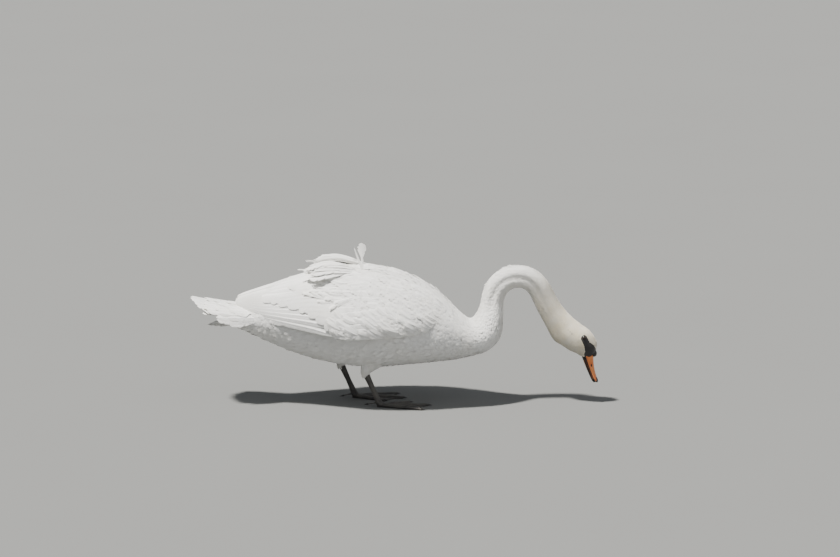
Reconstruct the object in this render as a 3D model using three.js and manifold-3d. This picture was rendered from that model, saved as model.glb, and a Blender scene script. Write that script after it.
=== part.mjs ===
// A life-size mute swan, grazing: body level, neck arched over and down, bill pointing at the ground.
// Millimetres, +X towards the head, +Z up, the floor at z = 0, +Y the bird's left side.
// The trunk, neck and head are one loft along a bent spine, parted by thin cuts. Wings, tail, bill and
// legs are lofts of their own, cut back from their neighbours. Plumage is counted in every outline.
import * as THREE from "three";
import { mergeVertices } from "three/addons/utils/BufferGeometryUtils.js";
import Module from "manifold-3d";

const wasm = await Module();
wasm.setup();

const { degToRad, lerp, smoothstep } = THREE.MathUtils;
const V = (x, y, z) => new THREE.Vector3(x, y, z);
const steps = (count, make) => Array.from({ length: count }, (_, i) => make(i));

// ---------------------------------------------------------------- driving dimensions
const GAP = 0.35; // clear space between neighbouring pieces
const CENTRE_X = 2; // middle of the length, which stands at x = 0 in the finished bird

const NECK_ARCH_CENTRE = [337, 280];
const NECK_ARCH_RADIUS = 67;
const NECK_ARCH_FROM = degToRad(165); // round the arch, where the rising neck meets it
const NECK_ARCH_TO = degToRad(30); // and where the falling neck leaves it
const NECK_ARCH_STEPS = 5;
const NECK_RADIUS = 30.5;

const HEAD_ROLL = degToRad(12); // the crown rolls a little towards the bird's right
const HEAD_ROLL_FROM = 0.62; // shares of the spine between which the roll builds up
const HEAD_ROLL_TO = 0.86;
const HEAD_ROLL_CENTRE = V(438, 0, 237);
const HEAD_ROLL_AXIS = V(Math.cos(degToRad(-60)), 0, Math.sin(degToRad(-60)));

const BILL_BASE = [528, 137];
const BILL_PITCH = degToRad(70); // below the horizontal
const BILL_LENGTH = 82;
const BILL_HALF_WIDTH = 16;
const BILL_SIDES = 14;
const NAIL_LENGTH = 10;
const KNOB_RADIUS = 9;

const EYE_RADIUS = 6.2;
const EYE_CENTRE = V(521.5, 25.5, 187);

const TAIL_FEATHERS = 22;
const TAIL_ROOT = V(-318, 0, 242);
const TAIL_LENGTH = 232;
const TAIL_FAN = degToRad(15.5); // either side of the middle
const TAIL_THICKNESS = 7;

const PLUME_ROOT = V(-82, 0, 360); // a loose feather that stands up from the back
const PLUME_THICKNESS = 1.4;

const LEG_SPREAD = 64; // from the middle plane to each leg
const RIGHT_LEG_X = -36; // where each shank meets its toes
const LEFT_LEG_X = -104;
const HOCK_HEIGHT = 98;
const HOCK_BACK = 40; // the hock stands this far behind the toes' root
const TOE_ROOT_HEIGHT = 10;
const ANKLE_HEIGHT = 17; // where the foot is parted from the shank
const TOE_IN = degToRad(6);
const WEB_THICKNESS = 2.6;
const CLAW_LENGTH = 14;
const TOES = [
  { name: "inner", angle: degToRad(-27), length: 98 },
  { name: "middle", angle: 0, length: 132 },
  { name: "outer", angle: degToRad(27), length: 122 },
];

const materials = {
  plumage: new THREE.MeshStandardMaterial({ color: 0xf4f3ee, roughness: 0.75, metalness: 0 }),
  cream: new THREE.MeshStandardMaterial({ color: 0xefe9d8, roughness: 0.75, metalness: 0 }),
  orange: new THREE.MeshStandardMaterial({ color: 0xd8662a, roughness: 0.45, metalness: 0 }),
  horn: new THREE.MeshStandardMaterial({ color: 0x16150f, roughness: 0.4, metalness: 0 }),
  leg: new THREE.MeshStandardMaterial({ color: 0x2b2b29, roughness: 0.55, metalness: 0 }),
  eye: new THREE.MeshStandardMaterial({ color: 0x1b120c, roughness: 0.08, metalness: 0 }),
};

// ---------------------------------------------------------------- making solids
// A closed geometry as a manifold solid, its faces turned out whichever way it was wound.
function solid(geometry) {
  const bare = geometry.clone();
  bare.deleteAttribute("normal");
  bare.deleteAttribute("uv");
  const { attributes, index } = mergeVertices(bare, 1e-4);
  const vertProperties = attributes.position.array;
  const build = (order) =>
    new wasm.Manifold(new wasm.Mesh({ numProp: 3, vertProperties, triVerts: Uint32Array.from(order) }));
  const made = build(index.array);
  return made.volume() > 0 ? made : build(Array.from(index.array).reverse());
}

// A closed skin over rings of equal count, with a fan on each end.
function loft(rings) {
  const count = rings[0].length;
  const middle = (ring) => ring.reduce((sum, p) => sum.add(p), V(0, 0, 0)).divideScalar(count);
  const points = [...rings.flat(), middle(rings[0]), middle(rings.at(-1))];
  const first = points.length - 2;
  const last = points.length - 1;
  const top = (rings.length - 1) * count;
  const faces = [];
  for (let i = 0; i < count; i++) {
    const j = (i + 1) % count;
    faces.push(first, j, i, last, top + i, top + j);
    for (let a = 0; a < top; a += count) {
      const b = a + count;
      faces.push(a + i, a + j, b + j, a + i, b + j, b + i);
    }
  }
  return solid(new THREE.BufferGeometry().setFromPoints(points).setIndex(faces));
}

const cut = (shape, ...others) => others.reduce((rest, other) => rest.subtract(other), shape);
const join = (...shapes) => shapes.reduce((whole, shape) => whole.add(shape));

const flat = (shape, depth) =>
  new THREE.ExtrudeGeometry(shape, { depth, bevelEnabled: false, curveSegments: 5 });

// A rounded section as [rise, side]: an ellipse at squareness 2, with fuller corners above that.
function profile(angle, squareness) {
  const round = (t) => Math.sign(t) * Math.pow(Math.abs(t), 2 / squareness);
  return [round(Math.cos(angle)), round(Math.sin(angle))];
}

// A curve through rows of three numbers, which need not be a place.
const through = (rows) => new THREE.CatmullRomCurve3(rows.map((row) => V(...row)), false, "catmullrom");

const swan = new THREE.Group();
swan.position.x = -CENTRE_X;

// Adds a solid as a named mesh, without the crumbs that a cut may leave.
function piece(name, shape, material) {
  const whole = shape.decompose().reduce((best, part) => (part.volume() > best.volume() ? part : best));
  const { vertProperties, triVerts } = whole.getMesh();
  const geometry = new THREE.BufferGeometry();
  geometry.setAttribute("position", new THREE.BufferAttribute(Float32Array.from(vertProperties), 3));
  geometry.setIndex(new THREE.BufferAttribute(triVerts, 1));
  geometry.computeVertexNormals();
  const mesh = new THREE.Mesh(geometry, materials[material]);
  mesh.name = name;
  swan.add(mesh);
}

// ---------------------------------------------------------------- trunk, neck and head
// A section's middle (x, z), its tilt in degrees from +X, its reach towards the back and the belly,
// and its half width.
const section = (x, z, tilt, up, down, half) => ({ x, z, tilt, up, down, half });

const trunk = [
  section(-488, 224, 0, 18, 13, 26),
  section(-430, 230, 0, 33, 22, 43),
  section(-370, 231, 0, 50, 45, 61),
  section(-300, 231, 0, 72, 77, 80),
  section(-225, 232, 0, 98, 103, 105),
  section(-140, 233, 0, 122, 122, 129),
  section(-50, 232, 0, 130, 127, 146),
  section(35, 225, 1, 121, 114, 142),
  section(98, 213, 4, 110, 96, 132),
  section(150, 206, 9, 87, 84, 118),
];
const breast = [
  section(199, 191, 20, 60, 60, 100),
  section(229, 190, 36, 51, 52, 82),
  section(251, 206, 57, 46, 47, 63),
  section(262, 238, 75, 37, 37, 45),
  section(267, 270, 86, 31, 31, 33),
];
const arch = steps(NECK_ARCH_STEPS + 1, (i) => {
  const angle = lerp(NECK_ARCH_FROM, NECK_ARCH_TO, i / NECK_ARCH_STEPS);
  return section(
    NECK_ARCH_CENTRE[0] + NECK_ARCH_RADIUS * Math.cos(angle),
    NECK_ARCH_CENTRE[1] + NECK_ARCH_RADIUS * Math.sin(angle),
    THREE.MathUtils.radToDeg(angle) - 90,
    NECK_RADIUS,
    NECK_RADIUS,
    NECK_RADIUS - 0.5,
  );
});
const nape = [
  section(415, 276, -62, 31, 32, 30.5),
  section(438, 237, -56, 33, 34, 31.5),
];
const skull = [
  section(463, 203, -44, 39, 41, 33),
  section(485, 186, -41, 39, 39, 34.5),
  section(506, 169, -46, 40, 36, 34),
  section(522, 151, -58, 34.5, 28, 27),
  section(530, 135, -70, 21, 21, 18),
];
const spine = [...trunk, ...breast, ...arch, ...nape, ...skull];
const at = (station) => spine.indexOf(station) / (spine.length - 1);

const axis = through(spine.map((s) => [s.x, s.z, s.tilt]));
const girth = through(spine.map((s) => [s.up, s.down, s.half]));

function rollHead(point, amount) {
  return point.sub(HEAD_ROLL_CENTRE).applyAxisAngle(HEAD_ROLL_AXIS, HEAD_ROLL * amount).add(HEAD_ROLL_CENTRE);
}

// The bird's outline at a share of the spine, a little more square where it is broad.
function bodyRing(share, sides, grow) {
  const { x, y: z, z: tilt } = axis.getPoint(share);
  const { x: up, y: down, z: half } = girth.getPoint(share);
  const squareness = 2 + 0.35 * smoothstep(half, 40, 120);
  const lean = degToRad(tilt);
  const roll = smoothstep(share, HEAD_ROLL_FROM, HEAD_ROLL_TO);
  return steps(sides, (i) => {
    const [rise, side] = profile((2 * Math.PI * i) / sides, squareness);
    const h = rise * ((rise > 0 ? up : down) + grow);
    return rollHead(V(x - Math.sin(lean) * h, side * (half + grow), z + Math.cos(lean) * h), roll);
  });
}

const stretches = [
  { name: "rump", from: 0, to: at(trunk[4]), rings: 7, sides: 20, material: "plumage" },
  { name: "trunk", from: at(trunk[4]), to: at(trunk[8]), rings: 8, sides: 20, material: "plumage" },
  { name: "breast", from: at(trunk[8]), to: at(breast[3]), rings: 7, sides: 20, material: "plumage" },
  { name: "neck_rise", from: at(breast[3]), to: at(arch[0]), rings: 4, sides: 16, material: "plumage" },
  { name: "neck_arch", from: at(arch[0]), to: at(arch[4]), rings: 8, sides: 16, material: "plumage" },
  { name: "neck_fall", from: at(arch[4]), to: at(nape[1]), rings: 6, sides: 16, material: "cream" },
  { name: "head", from: at(nape[1]), to: 1, rings: 11, sides: 18, material: "cream" },
];

// One stretch of the spine, shortened by half a gap at each cut, or grown all round as a cutter.
function bodyStretch({ from, to, rings, sides }, grow = 0) {
  const halfGap = (share) => {
    const near = axis.getPoint(share - 1e-3).setZ(0);
    const far = axis.getPoint(share + 1e-3).setZ(0);
    return (GAP * 1e-3) / near.distanceTo(far);
  };
  const start = grow || from === 0 ? from : from + halfGap(from);
  const end = grow || to === 1 ? to : to - halfGap(to);
  return loft(steps(rings + 1, (i) => bodyRing(lerp(start, end, i / rings), sides, grow)));
}

const grownTrunk = join(...stretches.slice(0, 3).map((stretch) => bodyStretch(stretch, GAP)));

// ---------------------------------------------------------------- bill and eyes
// A place in the bill's own frame: along it, to the left, and up towards the knob.
function fromBill(along, left, up) {
  const cos = Math.cos(BILL_PITCH);
  const sin = Math.sin(BILL_PITCH);
  const point = V(BILL_BASE[0] + along * cos + up * sin, left, BILL_BASE[1] - along * sin + up * cos);
  return rollHead(point, 1);
}

// The half width along the bill: a little waisted, and round at the tip.
function billHalfWidth(share) {
  const waist = 1 - 0.1 * Math.sin(Math.PI * share);
  const round = Math.sqrt(Math.max(0.02, 1 - Math.pow(Math.max(0, share - 0.8) / 0.205, 2)));
  return BILL_HALF_WIDTH * waist * round;
}

// The culmen drops quickly from the knob and then runs nearly flat; the gape sags a little.
const culmen = (share) => 6 + 17 * Math.pow(1 - share, 1.7);
const gape = (share) => -7 - 1.5 * Math.sin(Math.PI * share);

// A mandible is a dome on a nearly flat base: the upper one stands up, the lower one hangs down.
function mandible(way, grow = 0, from = -0.14) {
  const rings = 8;
  return loft(
    steps(rings + 1, (i) => {
      const share = lerp(from, 1, i / rings);
      const inside = Math.max(0, share);
      const tip = Math.sqrt(Math.max(0.1, 1 - Math.pow(Math.max(0, inside - 0.9) / 0.11, 2)));
      const half = billHalfWidth(inside) * (way > 0 ? 1 : 0.84);
      const dome = tip * (way > 0 ? culmen(inside) : 8 - 4.5 * inside);
      const base = gape(inside) - (way > 0 ? 0 : 3.2);
      return steps(BILL_SIDES, (k) => {
        const [rise, side] = profile((2 * Math.PI * k) / BILL_SIDES, 2.4);
        const depth = (rise > 0 ? dome : 1.2) + grow;
        return fromBill(share * BILL_LENGTH, side * (half + grow), base + way * rise * depth);
      });
    }),
  );
}

function ball(centre, rx, ry, rz, grow = 0) {
  const sphere = new THREE.SphereGeometry(1, 12, 8).scale(rx + grow, ry + grow, rz + grow);
  return solid(sphere.rotateY(BILL_PITCH).translate(centre.x, centre.y, centre.z));
}

const knob = (grow = 0) =>
  ball(fromBill(3, 0, 16), 1.25 * KNOB_RADIUS, KNOB_RADIUS, 0.95 * KNOB_RADIUS, grow);

// The nail is the hard black plate on the bill's tip.
const nail = (grow = 0) =>
  mandible(1, grow, 0.8).intersect(
    ball(fromBill(BILL_LENGTH - 0.4 * NAIL_LENGTH, 0, 1), NAIL_LENGTH, 0.8 * NAIL_LENGTH, 12, grow),
  );

function eyeBall(side, grow = 0) {
  const centre = rollHead(V(EYE_CENTRE.x, side * EYE_CENTRE.y, EYE_CENTRE.z), 1);
  return ball(centre, EYE_RADIUS, EYE_RADIUS, EYE_RADIUS, grow);
}

const sockets = [eyeBall(1, GAP), eyeBall(-1, GAP)];
const billRoom = [mandible(1, GAP), mandible(-1, GAP), knob(GAP)];
for (const stretch of stretches) {
  const hollows = stretch.name === "head" ? [...sockets, ...billRoom] : [];
  piece(stretch.name, cut(bodyStretch(stretch), ...hollows), stretch.material);
}
piece("eye_left", eyeBall(1), "eye");
piece("eye_right", eyeBall(-1), "eye");
piece("bill_upper", cut(mandible(1), knob(GAP), nail(GAP)), "orange");
piece("bill_lower", cut(mandible(-1), mandible(1, GAP)), "orange");
piece("bill_nail", nail(), "horn");
piece("bill_knob", knob(), "horn");

// ---------------------------------------------------------------- wings
// A section across a folded wing runs from its upper to its lower edge, each [out, height], and swells
// by the bulge between them.
const wingSection = (x, upper, lower, bulge) => ({ x, upper, lower, bulge });

const foldedWing = [
  wingSection(158, [74, 256], [98, 226], 12),
  wingSection(112, [58, 300], [120, 222], 26),
  wingSection(40, [50, 340], [148, 212], 36),
  wingSection(-50, [44, 365], [154, 203], 40),
  wingSection(-140, [40, 368], [143, 201], 38),
  wingSection(-220, [36, 350], [116, 219], 30),
  wingSection(-300, [30, 329], [84, 234], 19),
  wingSection(-360, [24, 312], [57, 246], 12),
  wingSection(-405, [16, 297], [34, 261], 7),
  wingSection(-435, [12, 283], [18, 274], 3),
];
const raisedTertials = [
  wingSection(-70, [44, 371], [98, 338], 8),
  wingSection(-110, [44, 384], [112, 336], 10),
  wingSection(-145, [47, 395], [120, 334], 11),
  wingSection(-178, [51, 400], [122, 335], 10),
  wingSection(-212, [58, 392], [112, 346], 7),
  wingSection(-238, [68, 380], [90, 364], 2.5),
];
const LEFT_TERTIALS_FORWARD = 18; // the two wings aren't folded quite alike
const WING_SIDES = 16;
const PRIMARIES_AT = 0.6; // share of the wing's sections where its hand begins
const COVERT_RINGS = 8;
const PRIMARY_RINGS = 7;
const TERTIAL_RINGS = 6;

function wingLoft(sections, side, from, to, rings, grow = 0, forward = 0) {
  const upperEdge = through(sections.map((s) => [s.x + forward, ...s.upper]));
  const lowerEdge = through(sections.map((s) => [s.bulge, ...s.lower]));
  return loft(
    steps(rings + 1, (i) => {
      const share = lerp(from, to, i / rings);
      const { x, y: upperY, z: upperZ } = upperEdge.getPoint(share);
      const { x: bulge, y: lowerY, z: lowerZ } = lowerEdge.getPoint(share);
      const out = (lowerY - upperY) / 2;
      const drop = (upperZ - lowerZ) / 2;
      const half = Math.hypot(out, drop);
      return steps(WING_SIDES, (k) => {
        const [rise, swell] = profile((2 * Math.PI * k) / WING_SIDES, 2.15);
        const a = (rise * (half + grow)) / half;
        const b = (swell * (bulge + grow)) / half;
        return V(x, side * (upperY + out - a * out + b * drop), upperZ - drop + a * drop + b * out);
      });
    }),
  );
}

const sides = [
  { name: "left", side: 1, legX: LEFT_LEG_X, forward: LEFT_TERTIALS_FORWARD },
  { name: "right", side: -1, legX: RIGHT_LEG_X, forward: 0 },
];
const wristGap = 3e-4; // half the gap across the wing, as a share of its sections

function wing({ name, side, forward }) {
  const coverts = wingLoft(foldedWing, side, 0, PRIMARIES_AT - wristGap, COVERT_RINGS);
  const primaries = wingLoft(foldedWing, side, PRIMARIES_AT + wristGap, 1, PRIMARY_RINGS);
  const tertials = wingLoft(raisedTertials, side, 0, 1, TERTIAL_RINGS, 0, forward);
  const grownWing = join(
    wingLoft(foldedWing, side, 0, PRIMARIES_AT, COVERT_RINGS, GAP),
    wingLoft(foldedWing, side, PRIMARIES_AT, 1, PRIMARY_RINGS, GAP),
  );
  piece(`wing_${name}_coverts`, cut(coverts, grownTrunk), "plumage");
  piece(`wing_${name}_primaries`, cut(primaries, grownTrunk), "plumage");
  piece(`wing_${name}_tertials`, cut(tertials, grownTrunk, grownWing), "plumage");
}
sides.forEach(wing);

// ---------------------------------------------------------------- tail and loose plume
// A fan of long feathers, drooping towards its sides, with a notch between each feather and the next.
function tailPoint(across, share, level) {
  const length = TAIL_LENGTH - 40 * across * across;
  const feather = (((across + 1) / 2) * TAIL_FEATHERS) % 1;
  const notch = 9 * Math.pow(Math.abs(2 * feather - 1), 2.5);
  const run = share * (length - notch * share);
  const thickness = lerp(TAIL_THICKNESS, 1.4, share);
  const droop = 19 * across * across * (0.45 + 0.55 * share);
  return V(
    TAIL_ROOT.x - run * Math.cos(TAIL_FAN * across),
    34 * across + run * Math.sin(TAIL_FAN * across),
    TAIL_ROOT.z + 0.2 * run - droop + (level * thickness) / 2,
  );
}

function tailLoft() {
  const stations = TAIL_FEATHERS * 3;
  const along = 2;
  return loft(
    steps(stations + 1, (i) => {
      const across = lerp(-0.998, 0.998, i / stations);
      const over = steps(along + 1, (k) => tailPoint(across, k / along, 1));
      const under = steps(along + 1, (k) => tailPoint(across, 1 - k / along, -1));
      return [...over, ...under];
    }),
  );
}
piece("tail", cut(tailLoft(), grownTrunk), "plumage");

// A leaf outline standing on its stalk, leaning by an angle from upright towards the head.
function leaf(stalk, length, halfWidth, lean) {
  const shape = new THREE.Shape();
  const place = (out, up) => [
    PLUME_ROOT.x + out * Math.cos(lean) + up * Math.sin(lean),
    PLUME_ROOT.z - out * Math.sin(lean) + up * Math.cos(lean),
  ];
  shape.moveTo(...place(-1.2, 0));
  shape.lineTo(...place(-1.2, stalk));
  shape.quadraticCurveTo(...place(-1.6 * halfWidth, stalk + 0.5 * length), ...place(0, stalk + length));
  shape.quadraticCurveTo(...place(1.8 * halfWidth, stalk + 0.55 * length), ...place(1.2, stalk));
  shape.lineTo(...place(1.2, 0));
  const vane = flat(shape, PLUME_THICKNESS).rotateX(Math.PI / 2);
  return solid(vane.translate(0, PLUME_THICKNESS / 2, 0));
}
const broadVane = leaf(28, 50, 11, degToRad(-3));
const narrowVane = leaf(20, 50, 2.4, degToRad(-19));
piece("back_plume", cut(join(broadVane, narrowVane), grownTrunk), "plumage");

// ---------------------------------------------------------------- legs
// A tube of level oval sections from place to place.
function limb(sections, grow = 0, count = 10) {
  return loft(
    sections.map(({ place, long, wide }) =>
      steps(count, (i) => {
        const a = (2 * Math.PI * i) / count;
        return V(place.x + (long + grow) * Math.cos(a), place.y + (wide + grow) * Math.sin(a), place.z);
      }),
    ),
  );
}

function slab(low, high) {
  return solid(new THREE.BoxGeometry(2000, 800, high - low).translate(0, 0, (low + high) / 2));
}
const underFloor = slab(-60, 0);

const thighSections = (hock) => [
  { place: V(hock.x + 50, hock.y, 185), long: 52, wide: 34 },
  { place: V(hock.x + 36, hock.y, 138), long: 43, wide: 30 },
  { place: V(hock.x + 19, hock.y, 114), long: 29, wide: 21 },
  { place: V(hock.x + 6, hock.y, 98), long: 17, wide: 14 },
  { place: V(hock.x + 2, hock.y, 90), long: 13, wide: 11 },
];

// The shank swells at the hock and again above the toes.
const shankSections = (hock, toeRoot) =>
  [
    { share: -0.22, long: 8, wide: 7 },
    { share: 0, long: 12, wide: 9.5 },
    { share: 0.16, long: 9, wide: 7 },
    { share: 0.55, long: 7.2, wide: 5.4 },
    { share: 0.86, long: 8.4, wide: 6.4 },
    { share: 1, long: 10.5, wide: 9 },
    { share: 1.08, long: 9, wide: 8 },
  ].map(({ share, long, wide }) => ({ place: V(0, 0, 0).lerpVectors(hock, toeRoot, share), long, wide }));

// A jointed toe lies along the floor and thins towards its claw.
function toe(root, end, heading) {
  return loft(
    steps(5, (i) => {
      const share = i / 4;
      const radius = lerp(7.4, 4.2, share) * (i % 2 ? 0.88 : 1.1);
      const middle = V(0, 0, 0).lerpVectors(root, end, share).setZ(lerp(6.5, 3, share));
      return steps(6, (k) => {
        const a = (Math.PI * k) / 3;
        const out = radius * Math.cos(a);
        const up = 0.8 * radius * Math.sin(a);
        return V(middle.x - out * Math.sin(heading), middle.y + out * Math.cos(heading), middle.z + up);
      });
    }),
  );
}

// The web's front edges are hollow between the toes.
function web(root, ends) {
  const outline = new THREE.Shape();
  outline.moveTo(root.x - 8, root.y);
  outline.lineTo(ends[0].x, ends[0].y);
  for (const [near, far] of [ends.slice(0, 2), ends.slice(1)]) {
    const hollow = near.clone().add(far).divideScalar(2).lerp(root, 0.26);
    outline.quadraticCurveTo(hollow.x, hollow.y, far.x, far.y);
  }
  return solid(flat(outline, WEB_THICKNESS));
}

function claw({ tip, heading }, grow = 0) {
  const length = CLAW_LENGTH + grow;
  return solid(
    new THREE.ConeGeometry(3.2 + grow, length, 8)
      .rotateZ(-Math.PI / 2)
      .translate(length / 2 - 2 - grow, 0, 0)
      .rotateY(degToRad(9))
      .rotateZ(heading)
      .translate(tip.x, tip.y, tip.z),
  );
}

function leg({ name, side, legX }) {
  const root = V(legX, side * LEG_SPREAD, TOE_ROOT_HEIGHT);
  const hock = V(legX - HOCK_BACK, root.y, HOCK_HEIGHT);
  const headings = TOES.map(({ angle }) => side * (angle - TOE_IN));
  const ends = TOES.map(({ length }, i) =>
    V(root.x + length * Math.cos(headings[i]), root.y + length * Math.sin(headings[i]), 0),
  );
  const claws = TOES.map(({ name }, i) => ({ name, tip: ends[i].clone().setZ(3.8), heading: headings[i] }));
  const hindEnd = V(root.x - 32, root.y - side * 7, 7);
  claws.push({ name: "hind", tip: hindEnd, heading: Math.PI + side * 0.2 });

  const hindToe = limb([
    { place: V(root.x - 4, root.y - side * 2, 13), long: 7, wide: 5 },
    { place: V(root.x - 18, root.y - side * 4, 10), long: 6, wide: 4 },
    { place: hindEnd, long: 3.5, wide: 3 },
  ]);
  const shank = limb(shankSections(hock, root));
  const ankle = cut(shank, slab(ANKLE_HEIGHT, 300));
  const toes = ends.map((end, i) => toe(root, end, headings[i]));
  const foot = join(web(root, ends), ankle, hindToe, ...toes);

  piece(`thigh_${name}`, cut(limb(thighSections(hock)), grownTrunk), "plumage");
  const grownThigh = limb(thighSections(hock), GAP).translate([0, 0, -GAP]);
  piece(`shank_${name}`, cut(shank, grownThigh, slab(-60, ANKLE_HEIGHT + GAP), slab(130, 300)), "leg");
  const clawRoom = claws.map((each) => claw(each, GAP));
  piece(`foot_${name}`, cut(foot, underFloor, slab(ANKLE_HEIGHT, 60), ...clawRoom), "leg");
  for (const each of claws) piece(`claw_${name}_${each.name}`, cut(claw(each), underFloor), "horn");
}
sides.forEach(leg);

export default swan;
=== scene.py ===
"""A life-size mute swan, grazing: one skin under a coat of separate feathers, on a plain floor.

Lengths are in millimetres until a mesh is made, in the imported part's own frame: +X towards the head,
+Y the bird's left, +Z up, the floor at z = 0. Every surface has two coordinates: a, which falls towards
the tail as the feathers lie, and b, which goes round or across.
"""

import math
from contextlib import contextmanager

import bmesh
import bpy
import numpy as np
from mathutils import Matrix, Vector


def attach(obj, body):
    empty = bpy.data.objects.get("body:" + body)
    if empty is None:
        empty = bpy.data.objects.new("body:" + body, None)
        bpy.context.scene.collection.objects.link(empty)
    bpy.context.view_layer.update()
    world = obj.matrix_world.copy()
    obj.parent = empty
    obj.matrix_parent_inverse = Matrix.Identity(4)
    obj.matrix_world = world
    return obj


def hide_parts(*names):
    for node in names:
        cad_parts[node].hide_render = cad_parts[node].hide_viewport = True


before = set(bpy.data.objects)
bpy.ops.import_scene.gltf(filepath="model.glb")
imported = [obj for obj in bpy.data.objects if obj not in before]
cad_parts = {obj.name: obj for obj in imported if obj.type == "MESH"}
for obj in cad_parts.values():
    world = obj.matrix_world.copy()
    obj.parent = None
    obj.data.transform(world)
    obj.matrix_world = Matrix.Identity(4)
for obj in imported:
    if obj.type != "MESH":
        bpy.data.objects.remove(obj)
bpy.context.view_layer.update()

MM = 0.001
CENTRE_X = 2.0  # the part's own shift, which puts the middle of the length at x = 0
SIDES = {"left": 1, "right": -1}
TAU = 2 * math.pi

# ---------------------------------------------------------------- the body's outline
# Stations along the spine from the rump to the bill: x, z, tilt in degrees, reach to the back, reach to
# the belly, half width. The arch of the neck is part of a circle.
TRUNK = [
    (-488, 224, 0, 18, 13, 26),
    (-430, 230, 0, 33, 22, 43),
    (-370, 231, 0, 50, 45, 61),
    (-300, 231, 0, 72, 77, 80),
    (-225, 232, 0, 98, 103, 105),
    (-140, 233, 0, 122, 122, 129),
    (-50, 232, 0, 130, 127, 146),
    (35, 225, 1, 121, 114, 142),
    (98, 213, 4, 110, 96, 132),
    (150, 206, 9, 87, 84, 118),
]
BREAST = [
    (199, 191, 20, 60, 60, 100),
    (229, 190, 36, 51, 52, 82),
    (251, 206, 57, 46, 47, 63),
    (262, 238, 75, 37, 37, 45),
    (267, 270, 86, 31, 31, 33),
]
ARCH_CENTRE, ARCH_RADIUS = (337, 280), 67
NECK_RADIUS = 30.5
ARCH = []
for turn in np.linspace(165, 30, 6):
    arch_x = ARCH_CENTRE[0] + ARCH_RADIUS * math.cos(math.radians(turn))
    arch_z = ARCH_CENTRE[1] + ARCH_RADIUS * math.sin(math.radians(turn))
    ARCH.append((arch_x, arch_z, turn - 90, NECK_RADIUS, NECK_RADIUS, NECK_RADIUS - 0.5))
NAPE = [(415, 276, -62, 31, 32, 30.5), (438, 237, -56, 33, 34, 31.5)]
SKULL = [
    (463, 203, -44, 39, 41, 33),
    (485, 186, -41, 39, 39, 34.5),
    (506, 169, -46, 40, 36, 34),
    (522, 151, -58, 34.5, 28, 27),
    (530, 135, -70, 21, 21, 18),
]
SPINE = np.array(TRUNK + BREAST + ARCH + NAPE + SKULL, float)
STATIONS = len(SPINE) - 1
RUMP_STEP = 58  # the outline runs straight on past the rump, this far for each station
RUMP_DROOP = 10  # how far the closed end hangs
RUMP_BLUNT = 0.75  # below 1, the closing end is blunt
RUMP_ROUND, RUMP_END = 0.06, -0.008  # shares of the spine between which the rump closes to a point

HEAD_ROLL = math.radians(12)
ROLL_FROM, ROLL_TO = 0.62, 0.86
ROLL_CENTRE = np.array([438.0, 0, 237])
ROLL_AXIS = np.array([math.cos(math.radians(-60)), 0, math.sin(math.radians(-60))])


def unit(vectors):
    return vectors / np.linalg.norm(vectors, axis=-1, keepdims=True)


def arrays(*values):
    """Numbers or arrays, as floating arrays of one shape."""
    return np.broadcast_arrays(*(np.asarray(value, float) for value in values))


def grid(first, second):
    return np.meshgrid(first, second, indexing="ij")


def ring(count):
    """Angles evenly round a full turn."""
    return np.linspace(0, TAU, count, endpoint=False)


def turned(angle, first, second):
    """The way at an angle from the first of two ways towards the second."""
    return np.cos(angle) * first + np.sin(angle) * second


def smooth(low, high, value):
    """0 up to low and 1 from high on, with soft ends."""
    t = np.clip((value - low) / (high - low), 0, 1)
    return t * t * (3 - 2 * t)


def through(rows, share):
    """A smooth curve through rows of numbers, at shares of its length counted in rows."""
    rows = np.asarray(rows, float)
    rows = np.vstack([2 * rows[0] - rows[1], rows, 2 * rows[-1] - rows[-2]])
    place = np.clip(share, 0, 1) * (len(rows) - 3)
    i = np.minimum(place.astype(int), len(rows) - 4)
    w = (place - i)[..., None]
    p, q, r, s = (rows[i + k] for k in range(4))
    rise_q = (r - p) / 2
    rise_r = (s - q) / 2
    square = 3 * (r - q) - 2 * rise_q - rise_r
    cube = 2 * (q - r) + rise_q + rise_r
    return q + w * (rise_q + w * (square + w * cube))


def rounded(angle, squareness):
    """A section's rise and side at an angle: round at squareness 2, and fuller above it."""
    rise, side = np.cos(angle), np.sin(angle)
    reach = (np.abs(rise) ** squareness + np.abs(side) ** squareness) ** (-1 / squareness)
    return rise * reach, side * reach


def rolled(points, amount=1.0):
    """Points of the head turned with it about the neck, by a share of the full roll."""
    amount = np.asarray(amount, float) * HEAD_ROLL
    arm = np.asarray(points, float) - ROLL_CENTRE
    along = (arm @ ROLL_AXIS)[..., None] * ROLL_AXIS
    cos, sin = np.cos(amount)[..., None], np.sin(amount)[..., None]
    return ROLL_CENTRE + along + (arm - along) * cos + np.cross(ROLL_AXIS, arm) * sin


FURROW_DEPTH = 4.2
FURROW_WIDTH = 0.3  # in radians round the neck
FURROW_ANGLE = 1.62  # from the nape, in radians
FURROW_WAVER = 0.12
FURROW_STARTS, FURROW_ENDS = (0.46, 0.56), (0.73, 0.82)  # shares of the spine where it fades in and out


def furrow(share, angle):
    """A long hollow down each side of the bent neck."""
    stretch = smooth(*FURROW_STARTS, share) * (1 - smooth(*FURROW_ENDS, share))
    middle = FURROW_ANGLE + FURROW_WAVER * np.sin(9 * share)
    away = np.abs(np.abs((angle + math.pi) % TAU - math.pi) - middle)
    return FURROW_DEPTH * stretch * np.exp(-((away / FURROW_WIDTH) ** 2))


FULLNESS = 0.35  # how much squarer than round the trunk's sections are
ROUND_HALF, FULL_HALF = 40, 120  # half widths of a round section and of a full one


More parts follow.
